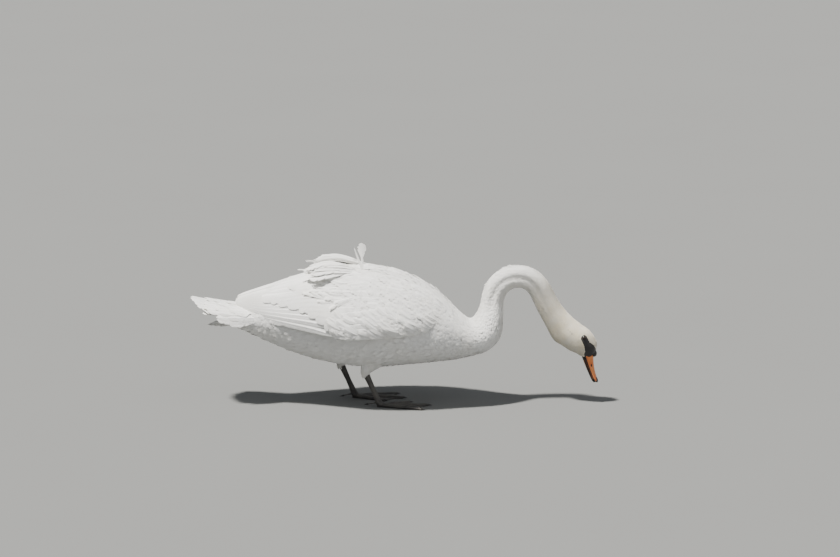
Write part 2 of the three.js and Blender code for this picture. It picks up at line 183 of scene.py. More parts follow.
def upright_body(share, angle, depth=0.0):
    """A place on the bird's outline, or a depth under it, before the head rolls."""
    share, angle = arrays(share, angle)
    x, z, tilt, up, down, half = np.moveaxis(through(SPINE, share), -1, 0)
    rise, side = rounded(angle, 2 + FULLNESS * smooth(ROUND_HALF, FULL_HALF, half))
    half = half - furrow(share, angle)
    close = np.clip((share - RUMP_END) / (RUMP_ROUND - RUMP_END), 1e-3, 1) ** RUMP_BLUNT
    up, down, half = (reach * close + depth * (1 - close) for reach in (up, down, half))
    z = z - RUMP_DROOP * (1 - close)
    h = rise * (np.where(rise > 0, up, down) - depth)
    lean = np.radians(tilt)
    x = x + np.minimum(share, 0) * STATIONS * RUMP_STEP
    return np.stack([x - np.sin(lean) * h, side * (half - depth), z + np.cos(lean) * h], -1)


def placed(points):
    return points - np.array([CENTRE_X, 0, 0])


def at(x, y, z):
    """Places from their three distances."""
    return placed(np.stack([x, y, z], -1))


def body(share, angle, depth=0.0):
    roll = smooth(ROLL_FROM, ROLL_TO, arrays(share, angle)[0])
    return placed(rolled(upright_body(share, angle, depth), roll))


# ---------------------------------------------------------------- wings, tail and thighs
# Sections across a folded wing: x, then the upper and the lower edge as out and height, then the bulge.
FOLDED_WING = [
    (158, 74, 256, 98, 226, 12),
    (112, 58, 300, 120, 222, 26),
    (40, 50, 340, 148, 212, 36),
    (-50, 44, 365, 154, 203, 40),
    (-140, 40, 368, 143, 201, 38),
    (-220, 36, 350, 116, 219, 30),
    (-300, 30, 329, 84, 234, 19),
    (-360, 24, 312, 57, 246, 12),
    (-405, 16, 297, 34, 261, 7),
    (-435, 12, 283, 18, 274, 3),
]
TERTIALS = [
    (-70, 44, 371, 98, 338, 8),
    (-110, 44, 384, 112, 336, 10),
    (-145, 47, 395, 120, 334, 11),
    (-178, 51, 400, 122, 335, 10),
    (-212, 58, 392, 112, 346, 7),
    (-238, 68, 380, 90, 364, 2.5),
]
TERTIALS_FORWARD = {"left": 18, "right": 0}
WING_SQUARENESS = 2.15
THINNEST = 0.3  # share of a wing's bulge that is left however deep under it a surface lies
SHEET_EDGE = 0.9  # share of the half height past which the sheet flattens to the lower edge
ROLLS_AT = 0.85  # where the upper edge begins to roll inward, as a share of the half height
END_STEP = 30  # how fast wings and thighs run straight on past their ends


def wing_frame(sections, a):
    """A wing section's x, middle, half length, way down, way out and bulge; the last three in (y, z)."""
    share = 1 - a
    x, y0, z0, y1, z1, bulge = np.moveaxis(through(sections, share), -1, 0)
    x = x - (share - np.clip(share, 0, 1)) * (len(sections) - 1) * END_STEP
    half = np.hypot(y1 - y0, z1 - z0) / 2
    down = np.stack([y1 - y0, z1 - z0], -1) / (2 * half[..., None])
    out = np.stack([-down[..., 1], down[..., 0]], -1)
    return x, np.stack([(y0 + y1) / 2, (z0 + z1) / 2], -1), half, down, out, bulge


def wing_at(x):
    """A folded wing's first coordinate at a distance along the bird."""
    stations = [-section[0] for section in FOLDED_WING]
    return 1 - np.interp(-np.asarray(x), stations, np.linspace(0, 1, len(stations)))


def wing_round(side, sections, forward=0):
    """A wing's closed surface: b is the angle from its upper edge over its outer face."""

    def place(a, b, depth=0.0):
        a, b = arrays(a, b)
        x, middle, half, down, out, bulge = wing_frame(sections, a)
        rise, swell = rounded(b, WING_SQUARENESS)
        deep = np.minimum(depth, (1 - THINNEST) * bulge)
        yz = middle - (rise * (half - deep))[..., None] * down + (swell * (bulge - deep))[..., None] * out
        return at(x + forward, side * yz[..., 0], yz[..., 1])

    return place


def wing_sheet(side, sections, forward=0):
    """A wing's outer face: b is 1 at the lower edge and -1 at the upper one, past which it rolls inward."""
    power = WING_SQUARENESS
    steep = ROLLS_AT ** (power - 1) * (1 - ROLLS_AT**power) ** (1 / power - 1)

    def place(a, b, depth=0.0):
        a, b = arrays(a, b)
        x, middle, half, down, out, bulge = wing_frame(sections, a)
        flat = np.maximum(b, -ROLLS_AT)
        cap = (1 - np.minimum(np.abs(flat), SHEET_EDGE) ** power) ** (1 / power)
        cap = cap * np.clip(1 - 4 * (flat - SHEET_EDGE), 0, 1)
        begun = np.arctan(bulge * steep / half)
        radius = (1 - ROLLS_AT) * half / (1 - np.sin(begun))
        turned = begun + (flat - b) * half / radius
        rise = radius * (np.sin(turned) - np.sin(begun)) - flat * half
        stand = cap * bulge - depth - radius * (np.cos(begun) - np.cos(turned))
        yz = middle - rise[..., None] * down + stand[..., None] * out
        return at(x + forward, side * yz[..., 0], yz[..., 1])

    return place


TAIL_ROOT = (-318, 242)
TAIL_LENGTH = 232
TAIL_FAN = math.radians(15.5)
TAIL_SPREAD = 34  # half width at the root
TAIL_RISE = 0.2
TAIL_DROOP = 19  # of the outer feathers at the tip
TAIL_HANG = 42  # of the soft feathers beside the root
HANG_OUT = 0.5


def tail(a, b, depth=0.0):
    """The tail's fan: a falls from 1 at its root to 0 at the longest tip, b is -1 to 1 across it.

    Past 1 it turns down beside the rump, for the soft feathers that hang there.
    """
    a, b = arrays(a, b)
    run = TAIL_LENGTH * (1 - a)
    hang = TAIL_HANG * np.clip(np.abs(b) - 1, 0, None)
    b = np.clip(b, -1, 1) + HANG_OUT * np.sign(b) * np.clip(np.abs(b) - 1, 0, None)
    droop = TAIL_DROOP * b**2 * (1 - 0.55 * a) + hang
    x = TAIL_ROOT[0] - run * np.cos(TAIL_FAN * b)
    y = TAIL_SPREAD * b + run * np.sin(TAIL_FAN * b)
    return at(x, y, TAIL_ROOT[1] + TAIL_RISE * run - droop - depth)


# Sections of a thigh from the body down to the hock: forward of the hock, height, half length, half width.
THIGH = [(50, 185, 52, 34), (36, 138, 43, 30), (19, 114, 29, 21), (6, 98, 17, 14), (2, 90, 13, 11)]
LEG_SPREAD = 64
LEG_X = {"left": -104, "right": -36}
HOCK_BACK = 40  # the hock stands this far behind the toes' root


def thigh(name):
    """A thigh's surface: a falls from 1 at the body to 0 at the hock, b goes round it."""

    def place(a, b, depth=0.0):
        a, b = arrays(a, b)
        forward, z, long, wide = np.moveaxis(through(THIGH, 1 - a), -1, 0)
        z = z + np.minimum(a, 0) * END_STEP
        x = LEG_X[name] - HOCK_BACK + forward + (long - depth) * np.cos(b)
        return at(x, SIDES[name] * LEG_SPREAD + (wide - depth) * np.sin(b), z)

    return place


class Sheet:
    """A surface with its slopes and its outward side, which is set from one known place on it."""

    STEP = 1e-3

    def __init__(self, place, known, outward_way):
        self.place = place
        self.sign = 1
        normal = self.frame(np.float64(known[0]), np.float64(known[1]))[3]
        self.sign = 1 if normal @ np.array(outward_way, float) > 0 else -1

    def frame(self, a, b):
        """Place, slope along a, slope along b and outward normal."""
        here = self.place(a, b)
        slope_a = (here - self.place(a - self.STEP, b)) / self.STEP
        slope_b = (self.place(a, b + self.STEP) - here) / self.STEP
        return here, slope_a, slope_b, self.sign * unit(np.cross(slope_a, slope_b))


BODY = Sheet(body, (0.2, 0.3), (0, 0, 1))
TAIL = Sheet(tail, (0.5, 0), (0, 0, 1))
WING, FLIGHT, CLOAK = {}, {}, {}  # a wing's whole surface, its outer face, and its raised tertials
for name, side in SIDES.items():
    outward = (0, side, 0)
    WING[name] = Sheet(wing_round(side, FOLDED_WING), (0.6, 1.5), outward)
    FLIGHT[name] = Sheet(wing_sheet(side, FOLDED_WING), (0.6, 0), outward)
    CLOAK[name] = Sheet(wing_sheet(side, TERTIALS, TERTIALS_FORWARD[name]), (0.6, 0), outward)
THIGHS = {name: Sheet(thigh(name), (0.5, 0.1), (1, 0, 0)) for name in SIDES}

# How the coat changes along the spine, by station: depth, then a feather's length, width and spacing.
DEPTH, LENGTH, WIDTH, SPACING = 1, 2, 3, 4
COAT = np.array(
    [
        (0, 4.2, 48, 22, 9),
        (1, 4.6, 56, 24, 11),
        (2, 5, 52, 24, 12),
        (4, 5.6, 44, 22, 10.5),
        (8, 5.6, 39, 19, 9.6),
        (10, 5.2, 28, 13, 7),
        (12, 4.8, 21, 8.6, 5),
        (14, 4.4, 17.5, 6.2, 3.7),
        (20, 4.0, 15.5, 5.4, 3.3),
        (22, 2.9, 12.5, 4.2, 2.6),
        (23.5, 1.8, 9, 3.0, 1.9),
        (25.5, 1.2, 6.2, 2.2, 1.5),
        (27, 0.8, 4.2, 1.7, 1.15),
    ]
)


def coat(column, share):
    return np.interp(np.asarray(share) * STATIONS, COAT[:, 0], COAT[:, column])


# ---------------------------------------------------------------- the bill and the bare lores
BILL_BASE = (528, 137)
BILL_PITCH = math.radians(70)
BILL_LENGTH = 82
BILL_HALF_WIDTH = 16


def from_bill(along, left, up):
    """A place from the bill's own distances: along it from its base, to the left, and up from its axis."""
    along, left, up = arrays(along, left, up)
    x = BILL_BASE[0] + along * math.cos(BILL_PITCH) + up * math.sin(BILL_PITCH)
    z = BILL_BASE[1] - along * math.sin(BILL_PITCH) + up * math.cos(BILL_PITCH)
    return placed(rolled(np.stack([x, left, z], -1)))


def bill_way(along, left, up):
    """The unit vector of a direction in the bill's distances."""
    return unit(from_bill(along, left, up) - from_bill(0, 0, 0))


def to_bill(points):
    """Along and up in the bill's own distances, of unrolled places."""
    dx = points[..., 0] - BILL_BASE[0]
    dz = points[..., 2] - BILL_BASE[1]
    along = dx * math.cos(BILL_PITCH) - dz * math.sin(BILL_PITCH)
    return along, dx * math.sin(BILL_PITCH) + dz * math.cos(BILL_PITCH)


# The bare black skin widens from the eye to the bill's base; its corners are in the bill's distances.
LORES = [(-55.5, 9), (-51, 18.5), (-31, 21.5), (-19, 27), (2, 26)]
LORES += [(5, -9), (-6, -5), (-12, 1), (-28, 5), (-43, 4.5)]
LORES_ROUND = 0.8
HEAD_FROM = 0.85  # share of the spine behind which no skin is bare
FEATHERED = -50.0  # stands for a place far from any bare skin
EYE_PLACE = np.array([521.5, 25.5, 187])  # on the head's left, before the head rolls
EYE_SKIN = 8.2  # from the eye's middle to the edge of the black skin round it


def bare(share, angle):
    """How far a place on the head lies inside the bare black skin; negative outside it."""
    along, up = to_bill(upright_body(share, angle))
    point = np.stack([along, up], -1)
    inside = np.zeros(along.shape, bool)
    nearest = np.full(along.shape, 1e9)
    corners = np.array(LORES)
    for start, end in zip(corners, np.roll(corners, -1, axis=0)):
        edge = end - start
        arm = point - start
        t = np.clip(arm @ edge / (edge @ edge), 0, 1)
        nearest = np.minimum(nearest, np.linalg.norm(arm - t[..., None] * edge, axis=-1))
        inside ^= ((start[1] > up) != (end[1] > up)) & (arm[..., 0] < arm[..., 1] * edge[0] / edge[1])
    level = np.where(inside, nearest, -nearest) + LORES_ROUND
    level = np.maximum(level, EYE_SKIN - np.linalg.norm(point - to_bill(EYE_PLACE), axis=-1))
    return np.where(np.asarray(share) > HEAD_FROM, level, FEATHERED)


# ---------------------------------------------------------------- meshes from arrays
def points_mesh(name, points):
    """A mesh of loose points, given in millimetres."""
    mesh = bpy.data.meshes.new(name)
    mesh.vertices.add(len(points))
    mesh.vertices.foreach_set("co", (np.asarray(points, float) * MM).ravel())
    return mesh


def store(mesh, key, values):
    """Keeps a number or a vector for each point of a mesh."""
    values = np.asarray(values, np.float32)
    kind, field = ("FLOAT", "value") if values.ndim == 1 else ("FLOAT_VECTOR", "vector")
    mesh.attributes.new(key, kind, "POINT").data.foreach_set(field, values.ravel())


def new_piece(name, points, loops, sizes, material, maps=None, values=None):
    """A mesh object from arrays: millimetre points, corner indices, and the corners of each face.

    maps are UV maps by name and values are numbers by name, both given for each point.
    """
    mesh = points_mesh(name, points)
    loops = np.asarray(loops, np.int32)
    sizes = np.asarray(sizes, np.int32)
    mesh.loops.add(len(loops))
    mesh.loops.foreach_set("vertex_index", loops)
    mesh.polygons.add(len(sizes))
    mesh.polygons.foreach_set("loop_start", np.concatenate([[0], np.cumsum(sizes)[:-1]]).astype(np.int32))
    mesh.polygons.foreach_set("use_smooth", np.ones(len(sizes), bool))
    mesh.update(calc_edges=True)
    for key, places in (maps or {}).items():
        layer = mesh.uv_layers.new(name=key)
        layer.uv.foreach_set("vector", np.asarray(places, np.float32)[loops].ravel())
    for key, numbers in (values or {}).items():
        store(mesh, key, numbers)
    mesh.materials.append(material)
    return linked(name, mesh)


def linked(name, data):
    """A new object in the scene, at the origin."""
    made = bpy.data.objects.new(name, data)
    bpy.context.scene.collection.objects.link(made)
    return made


def quads(rows, columns, closed=False):
    """Quads over rows of points that close round; closed joins the last row to the first one too."""
    r, c = grid(np.arange(rows if closed else rows - 1), np.arange(columns))
    after, beyond = (c + 1) % columns, (r + 1) % rows * columns
    return np.stack([r * columns + c, r * columns + after, beyond + after, beyond + c], -1)


def capped_faces(rows, columns):
    """Quads over rows of points that close round, with a fan to one more point at each end."""
    sides = quads(rows, columns)
    k = np.arange(columns)
    after = (k + 1) % columns
    top = (rows - 1) * columns
    first = np.stack([np.full(columns, rows * columns), after, k], -1)
    last = np.stack([np.full(columns, rows * columns + 1), top + k, top + after], -1)
    loops = np.concatenate([sides.ravel(), first.ravel(), last.ravel()])
    return loops, np.concatenate([np.full(sides.size // 4, 4), np.full(2 * columns, 3)])


def with_ends(rings):
    """The points of a loft, with the middle of each end ring added for its cap."""
    return np.concatenate([rings.reshape(-1, rings.shape[-1]), [rings[0].mean(0), rings[-1].mean(0)]])


def loft(name, rings, material, maps=None, values=None):
    """A closed piece over rings of points, whose maps and values are given ring by ring too."""
    rows, columns = rings.shape[:2]
    maps = {key: with_ends(places) for key, places in (maps or {}).items()}
    values = {key: with_ends(numbers[..., None])[:, 0] for key, numbers in (values or {}).items()}
    piece = new_piece(name, with_ends(rings), *capped_faces(rows, columns), material, maps, values)
    turn_outward(piece)
    return piece


@contextmanager
def opened(mesh):
    """A mesh's faces and points for editing, put back into it afterwards."""
    shape = bmesh.new()
    shape.from_mesh(mesh)
    yield shape
    shape.to_mesh(mesh)
    shape.free()


def turn_outward(piece):
    with opened(piece.data) as shape:
        if shape.calc_volume(signed=True) < 0:
            bmesh.ops.reverse_faces(shape, faces=shape.faces)


def make_plain(piece):
    """Applies every modifier, so that the piece is a plain mesh."""
    graph = bpy.context.evaluated_depsgraph_get()
    made = bpy.data.meshes.new_from_object(piece.evaluated_get(graph))
    piece.modifiers.clear()
    piece.data = made


def modify(piece, kind, **settings):
    modifier = piece.modifiers.new(kind.title(), kind)
    for key, value in settings.items():
        setattr(modifier, key, value)
    return modifier


def join_pieces(name, pieces):
    """Boolean union of closed pieces into the first of them."""
    whole = pieces[0]
    for other in pieces[1:]:
        modify(whole, "BOOLEAN", operation="UNION", solver="EXACT", object=other)
        make_plain(whole)
        bpy.data.objects.remove(other)
    whole.name = name
    return whole


# ---------------------------------------------------------------- feather templates
# A template is a closed vane: u runs from 0 at the root to 1 at the tip, v is -1 to 1 across its full
# width, and t is its thickness above and below.
def zipper(edge, shaft, u):
    """Triangles between two chains of points that share their first and last one."""
    faces = []
    i = j = 0
    while i < len(edge) - 1 or j < len(shaft) - 1:
        step_edge = j == len(shaft) - 1 or (i < len(edge) - 1 and u[edge[i + 1]] <= u[shaft[j + 1]])
        if step_edge:
            face = (edge[i], edge[i + 1], shaft[j])
            i += 1
        else:
            face = (edge[i], shaft[j + 1], shaft[j])
            j += 1
        if len(set(face)) == 3:
            faces.append(face)
    return faces


def tuft_template(rng):
    """A narrow wisp of down with a forked tip."""
    outline = [(0, 0), (0.3, 0.72), (0.7, 1), (1, 0.5)]
    outline += [(0.82, 0.1), (1.06, -0.3), (0.78, -0.95), (0.32, -0.75)]
    corners = len(outline)
    points = np.array([(*place, 0) for place in outline] + [(0.5, 0, 0.5), (0.5, 0, -0.5)], float)
    points[1:corners, :2] += rng.uniform(-0.07, 0.07, (corners - 1, 2))
    faces = []
    for k in range(corners):
        after = (k + 1) % corners
        faces += [(corners, after, k), (corners + 1, k, after)]
    return points, np.array(faces)


SHAFT_PLACES = (0.3, 0.6, 0.84)  # points along a short feather's shaft
TIP_POINTS = 5


def contour_template(rng, tooth):
    """A short rounded feather with a ragged tip."""
    middle = 0.56
    sides = []
    turns = np.linspace(math.pi / 2, 0, TIP_POINTS + 1)[:-1]
    for way in (1, -1):
        side = [(0.1, 0.3 * way), (0.34, 0.86 * way)]
        for k, turn in enumerate(turns):
            reach = 1 - tooth * (k % 2) * rng.uniform(0.5, 1) + rng.uniform(-0.03, 0.03)
            side.append((middle + (1 - middle) * math.cos(turn) * reach, way * math.sin(turn) * reach))
        sides.append(side)
    points = [(0, 0, 0), (1, 0, 0)]
    chains = []
    for side in sides:
        chains.append([0] + list(range(len(points), len(points) + len(side))) + [1])
        points += [(u, v, 0) for u, v in side]
    faces = []
    for t in (1, -1):
        shaft = [0] + list(range(len(points), len(points) + len(SHAFT_PLACES))) + [1]
        points += [(u, 0, 0.5 * t * (1 - u * u)) for u in SHAFT_PLACES]
        u = [p[0] for p in points]
        for chain, way in zip(chains, (1, -1)):
            made = zipper(chain, shaft, u)
            faces += made if way * t < 0 else [face[::-1] for face in made]
    return np.array(points, float), np.array(faces)


def vane_template(rng, rows, splits, tip, slant=0.1, stem=None):
    """A long feather with a raised shaft, slanting barbs, some splits and a rounded tip.

    stem is where the vane begins and where it is full, on a feather with a bare stem.
    """
    columns = [(1, 0), (0.5, 0.3), (0.07, 0.42), (0, 1), (-0.07, 0.42), (-0.5, 0.3), (-1, 0)]
    columns += [(-0.5, -0.3), (0, -0.8), (0.5, -0.3)]
    u = np.linspace(0, 1, rows)
    wide = smooth(-0.05, 0.3, u) ** 0.8 if stem is None else 0.25 + 0.75 * smooth(*stem, u)
    wide = wide * np.sqrt(np.clip(1 - (np.clip(u - 1 + tip, 0, None) / tip) ** 2, 0.003, 1))
    rings = np.empty((rows, len(columns), 3))
    for k, (v, t) in enumerate(columns):
        edge = np.ones(rows)
        if abs(v) == 1:
            cut = (rng.random(rows) < splits) & (u > 0.25) & (u < 0.98)
            edge = 1 - cut * rng.uniform(0.15, 0.5, rows) + rng.uniform(-0.03, 0.03, rows)
        across = v * wide * edge
        rings[:, k, 0] = u + slant * np.abs(across) * np.sqrt(1 - u)
        rings[:, k, 1] = across
        rings[:, k, 2] = t * (1 - 0.7 * u)
    return with_ends(rings), capped_faces(rows, len(columns))


def template_faces(template):
    """A template's corner indices, and the corners of each face."""
    faces = template[1]
    if isinstance(faces, tuple):
        return faces
    return faces.ravel(), np.full(len(faces), faces.shape[1])


# ---------------------------------------------------------------- laying feathers on a sheet
def feathers(a, b, length, width, **others):
    """Feathers of one tract: a dictionary of arrays, one number for each feather."""
    settings = dict(heading=0, bend=0, low=5, high=0, thick=0.8, camber=0.05, twist=0.05, lift=0, dip=1.8)
    settings.update(others, a=a, b=b, length=length, width=width)
    a, b = arrays(a, b)
    return {key: np.broadcast_to(np.asarray(value, float), a.shape) for key, value in settings.items()}


def picked(tract, mask):
    return {key: value[mask] for key, value in tract.items()}


def either(rng, count):
    """-1 or 1 for each feather, by chance."""
    return rng.choice([-1, 1], count)


PATCH = 0.003  # each feather's patch on the skin's unwrap
VANE_UNIT = 100  # millimetres for each unit of the vane map
SHAFT_STEPS = 7
SHARP_FROM = math.radians(75)


def walk(sheet, tract):
    """Each shaft's way over a sheet, and the way to one side for each millimetre, in the sheet's numbers."""
    a, b = tract["a"], tract["b"]
    track = []
    for k in range(SHAFT_STEPS + 1):
        _, slope_a, slope_b, _ = sheet.frame(a, b)
        aa = (slope_a * slope_a).sum(-1)
        ab = (slope_a * slope_b).sum(-1)
        bb = (slope_b * slope_b).sum(-1)
        area = aa * bb - ab * ab
        back = -slope_a / np.sqrt(aa)[:, None]
        side = unit(slope_b - (ab / aa)[:, None] * slope_a)
        turn = (tract["heading"] + tract["bend"] * k / SHAFT_STEPS)[:, None]
        ahead = turned(turn, back, side)
        left = -sheet.sign * turned(turn, side, -back)

        def numbers(way):
            along, round_it = (way * slope_a).sum(-1), (way * slope_b).sum(-1)
            return (bb * along - ab * round_it) / area, (aa * round_it - ab * along) / area

        track.append((a, b, *numbers(left)))
        step_a, step_b = numbers(ahead)
        a = a + step_a * tract["length"] / SHAFT_STEPS
        b = b + step_b * tract["length"] / SHAFT_STEPS
    return np.moveaxis(np.array(track), 0, 2)


def lay(sheet, tract, template, unwrap):
    """Bends a template feather over a sheet from every root; returns points, faces and both UV maps."""
    shape = template[0]
    u, v, t = shape.T
    track = walk(sheet, tract)
    step = np.clip(u, 0, 1) * SHAFT_STEPS
    i = np.minimum(step.astype(int), SHAFT_STEPS - 1)
    w = step - i
    a, b, left_a, left_b = track[:, :, i] * (1 - w) + track[:, :, i + 1] * w
    half = tract["width"][:, None] / 2
    length = tract["length"][:, None]
    across = v * half
    here, _, _, normal = sheet.frame(a + left_a * across, b + left_b * across)
    rise = tract["high"][:, None] - tract["low"][:, None] * (1 - np.clip(u, 0, 1)) ** tract["dip"][:, None]
    rise = rise + tract["thick"][:, None] * t - sheet.sign * tract["twist"][:, None] * across
    rise = rise + tract["camber"][:, None] * (1 - v**2) * 2 * half + tract["lift"][:, None] * u**3 * length
    points = here + rise[..., None] * normal
    root = unwrap(tract["a"], tract["b"])[:, None, :]
    patch = root + PATCH * np.stack([u - 0.5, v / 2], -1)
    vane = np.stack([u * length, across], -1) / VANE_UNIT
    count = len(points)
    loops, sizes = template_faces(template)
    loops = (loops + len(shape) * np.arange(count)[:, None]).ravel()
    return points.reshape(-1, 3), loops, np.tile(sizes, count), patch.reshape(-1, 2), vane.reshape(-1, 2)


def spread(sheet, tract, templates, unwrap):
    """Lays a tract with several templates taken in turn."""
    kinds = np.arange(len(tract["a"])) % len(templates)
    return [lay(sheet, picked(tract, kinds == k), templates[k], unwrap) for k in range(len(templates))]


def coat_piece(name, parts, material):
    """One piece of coat from any number of laid tracts."""
    parts = [part for part in parts if len(part[0])]
    start = np.cumsum([0] + [len(part[0]) for part in parts])
    points, _, sizes, patch, vane = (np.concatenate(column) for column in zip(*parts))
    loops = np.concatenate([part[1] + s for part, s in zip(parts, start)])
    piece = new_piece(name, points, loops, sizes, material, {"OFBake": patch, "vane": vane})
    piece.data.set_sharp_from_angle(angle=SHARP_FROM)
    return piece


ROW_GAP = 0.9  # from row to row, as a share of the spacing within a row
SHIFT_ROUND, SHIFT_ALONG = 0.16, 0.3  # how far a root strays, as shares of the spacing
TURNS = 181  # places at which a row's length is measured


def rings_of_roots(sheet, low, high, gap, turn_from=0.0, turn_to=TAU, seed=1):
    """Roots in staggered rows over a sheet, evenly spaced by real distance. gap is a function of a."""
    rng = np.random.default_rng(seed)
    closed = turn_to - turn_from >= TAU
    turns = np.linspace(turn_from, turn_to, TURNS)
    found_a, found_b = [], []
    a, row = high, 0
    while a > low:
        places = sheet.place(np.full(TURNS, a), turns)
        slope = (places - sheet.place(np.full(TURNS, a - sheet.STEP), turns)) / sheet.STEP
        reach = np.concatenate([[0], np.cumsum(np.linalg.norm(np.diff(places, axis=0), axis=-1))])
        spacing = gap(a)
        count = max(3, round(reach[-1] / spacing))
        shares = np.arange(count) + 0.5 * (row % 2) + rng.uniform(-SHIFT_ROUND, SHIFT_ROUND, count)
        shares = shares / count % 1 if closed else shares / count
        found_b.append(np.interp(shares * reach[-1], reach, turns))
        step = ROW_GAP * spacing / np.mean(np.linalg.norm(slope, axis=-1))
        found_a.append(a + rng.uniform(-SHIFT_ALONG, SHIFT_ALONG, count) * step)
        a -= step
        row += 1
    return np.concatenate(found_a), np.concatenate(found_b)


MARGIN = 0.05  # left empty round an unwrap, which leaves room for each root's patch
UNWRAP = 1 - 2 * MARGIN


def unwrapped(across, a):
    """A place on a piece's unwrap, from a share across it and its first coordinate."""
    return np.stack([across, MARGIN + UNWRAP * np.clip(a, 0, 1)], -1)


def body_unwrap(a, b):
    return unwrapped(0.02 + 0.96 * (np.asarray(b) / TAU % 1), a)


def wing_unwrap(a, b):
    return unwrapped(MARGIN + UNWRAP * np.clip((np.asarray(b) + 1.2) / 6, 0, 1), a)


def tail_unwrap(a, b):
    return unwrapped(0.5 + 0.375 * np.asarray(b), a)


# ---------------------------------------------------------------- materials
class Value:
    """A shader socket that takes part in sums: each sum adds its Math nodes."""

    def __init__(self, paint, socket):
        self.paint = paint
        self.socket = socket

    def math(self, operation, *others):
        inputs = dict(enumerate([self, *others]))
        return self.paint.node("ShaderNodeMath", {"operation": operation}, inputs)

    def __add__(self, other):
        return self.math("ADD", other)

    def __sub__(self, other):
        return self.math("SUBTRACT", other)

    def __rsub__(self, other):
        return self.math("MULTIPLY_ADD", -1.0, other)

    def __mul__(self, other):
        return self.math("MULTIPLY", other)

    __radd__ = __add__
    __rmul__ = __mul__

    def size(self):
        return self.math("ABSOLUTE")

    def wave(self):
        return self.math("SINE")

    def step(self, low, high):
        """0 below low and 1 above high, smoothly."""
        settings = {"interpolation_type": "SMOOTHSTEP"}
        return self.paint.node("ShaderNodeMapRange", settings, {0: self, 1: low, 2: high, 3: 0.0, 4: 1.0})


def fill(tree, socket, value):
    """Links a socket, or sets its own constant."""
    if isinstance(value, Value):
        value = value.socket
    if isinstance(value, bpy.types.NodeSocket):
        tree.links.new(value, socket)
    elif isinstance(value, tuple) and socket.type == "RGBA" and len(value) == 3:
        socket.default_value = (*value, 1)
    else:
        socket.default_value = value


def add_node(tree, kind, settings=None, inputs=None):
    """Adds a node of any type, sets it up, and fills its sockets."""
    made = tree.nodes.new(kind)
    for key, value in (settings or {}).items():
        setattr(made, key, value)
    for key, value in (inputs or {}).items():
        fill(tree, made.inputs[key], value)
    return made


class Paint:
    """A procedural material on the Principled shader; constants go straight to its sockets."""

    def __init__(self, name, **constants):
        self.material = bpy.data.materials.new(name)
        self.material.use_nodes = True
        self.tree = self.material.node_tree
        self.shader = self.tree.nodes["Principled BSDF"]
        for key, value in constants.items():
            self.shader.inputs[key.replace("_", " ")].default_value = value

    def node(self, kind, settings=None, inputs=None, output=0):
        return Value(self, add_node(self.tree, kind, settings, inputs).outputs[output])

    def set(self, name, value):
        fill(self.tree, self.shader.inputs[name], value)

    def noise(self, place, scale, detail=3.0, roughness=0.55):
        inputs = {"Vector": place, "Scale": scale, "Detail": detail, "Roughness": roughness}
        return self.node("ShaderNodeTexNoise", None, inputs)

    def cells(self, place, scale, feature="F1"):
        inputs = {"Vector": place, "Scale": scale}
        return self.node("ShaderNodeTexVoronoi", {"feature": feature}, inputs)

    def mix(self, factor, first, second):
        settings = {"data_type": "RGBA"}
        return self.node("ShaderNodeMix", settings, {0: factor, 6: first, 7: second}, output=2)

    def place(self):
        return self.node("ShaderNodeTexCoord", output="Object")

    def number(self, name):
        return self.node("ShaderNodeAttribute", {"attribute_name": name}, output="Fac")

    def part(self, vector, k):
        """One of a vector's three numbers."""
        return self.node("ShaderNodeSeparateXYZ", None, {0: vector}, output=k)

    def vane(self):
        """How far along a feather and across it a place lies, by the vane map."""
        vector = self.node("ShaderNodeUVMap", {"uv_map": "vane"})
        return self.part(vector, 0), self.part(vector, 1)

    def vector(self, x, y, z=0.0):
        return self.node("ShaderNodeCombineXYZ", None, {0: x, 1: y, 2: z})

    def scaled(self, vector, scale):
        return self.node("ShaderNodeVectorMath", {"operation": "MULTIPLY"}, {0: vector, 1: scale})

    def distance(self, vector, centre):
        settings = {"operation": "DISTANCE"}
        return self.node("ShaderNodeVectorMath", settings, {0: vector, 1: centre}, output="Value")

    def bump(self, height, strength, distance):
        """Adds a bump in metres on top of any bump before it."""
        inputs = {"Height": height, "Strength": strength, "Distance": distance}
        normal = self.shader.inputs["Normal"]
        if normal.is_linked:
            inputs["Normal"] = normal.links[0].from_socket
        self.set("Normal", self.node("ShaderNodeBump", None, inputs))

    def colour(self, value):
        self.set("Base Color", value)

    def rough(self, value):
        self.set("Roughness", value)


WHITE = (0.84, 0.835, 0.81)
CREAM = (0.76, 0.68, 0.5)
STAIN = (0.62, 0.55, 0.42)
BLACK_SKIN = (0.012, 0.011, 0.011)
ORANGE_DEEP, ORANGE, RUST = (0.56, 0.135, 0.028), (0.66, 0.22, 0.05), (0.3, 0.12, 0.05)
BILL_BLACK = (0.016, 0.014, 0.013)
HORN_BLACK, HORN_WORN = (0.014, 0.013, 0.012), (0.075, 0.064, 0.052)
LEG_DARK, LEG_GREY, LEG_DUST = (0.022, 0.021, 0.021), (0.062, 0.058, 0.052), (0.12, 0.11, 0.095)
IRIS_DARK, IRIS_HAZEL = (0.006, 0.003, 0.002), (0.022, 0.01, 0.005)
IRIS_RIM, PUPIL = (0.006, 0.005, 0.004), (0.002, 0.002, 0.002)
PUPIL_EDGE, RIM_EDGE, WHITE_EDGE = (23.0, 27.0), (46.0, 58.0), (50.0, 70.0)  # degrees from the gaze
FLOOR_DARK, FLOOR_PALE = (0.15, 0.153, 0.15), (0.17, 0.173, 0.17)
HEAD_MIDDLE = (0.493, -0.006, 0.185)  # in metres, like every distance in a material
# painted shade: the colour of the dark spot painted where each ear's crease lies behind the eye
EAR_CREASE_PAINTED_SHADE = (0.27, 0.24, 0.18)
EAR_CREASE = [(479, 33, 210), (484, 33, 205), (489, 33, 200)]  # millimetres, on the head's left side
BARB_GAP = 0.007  # in the vane map's unit


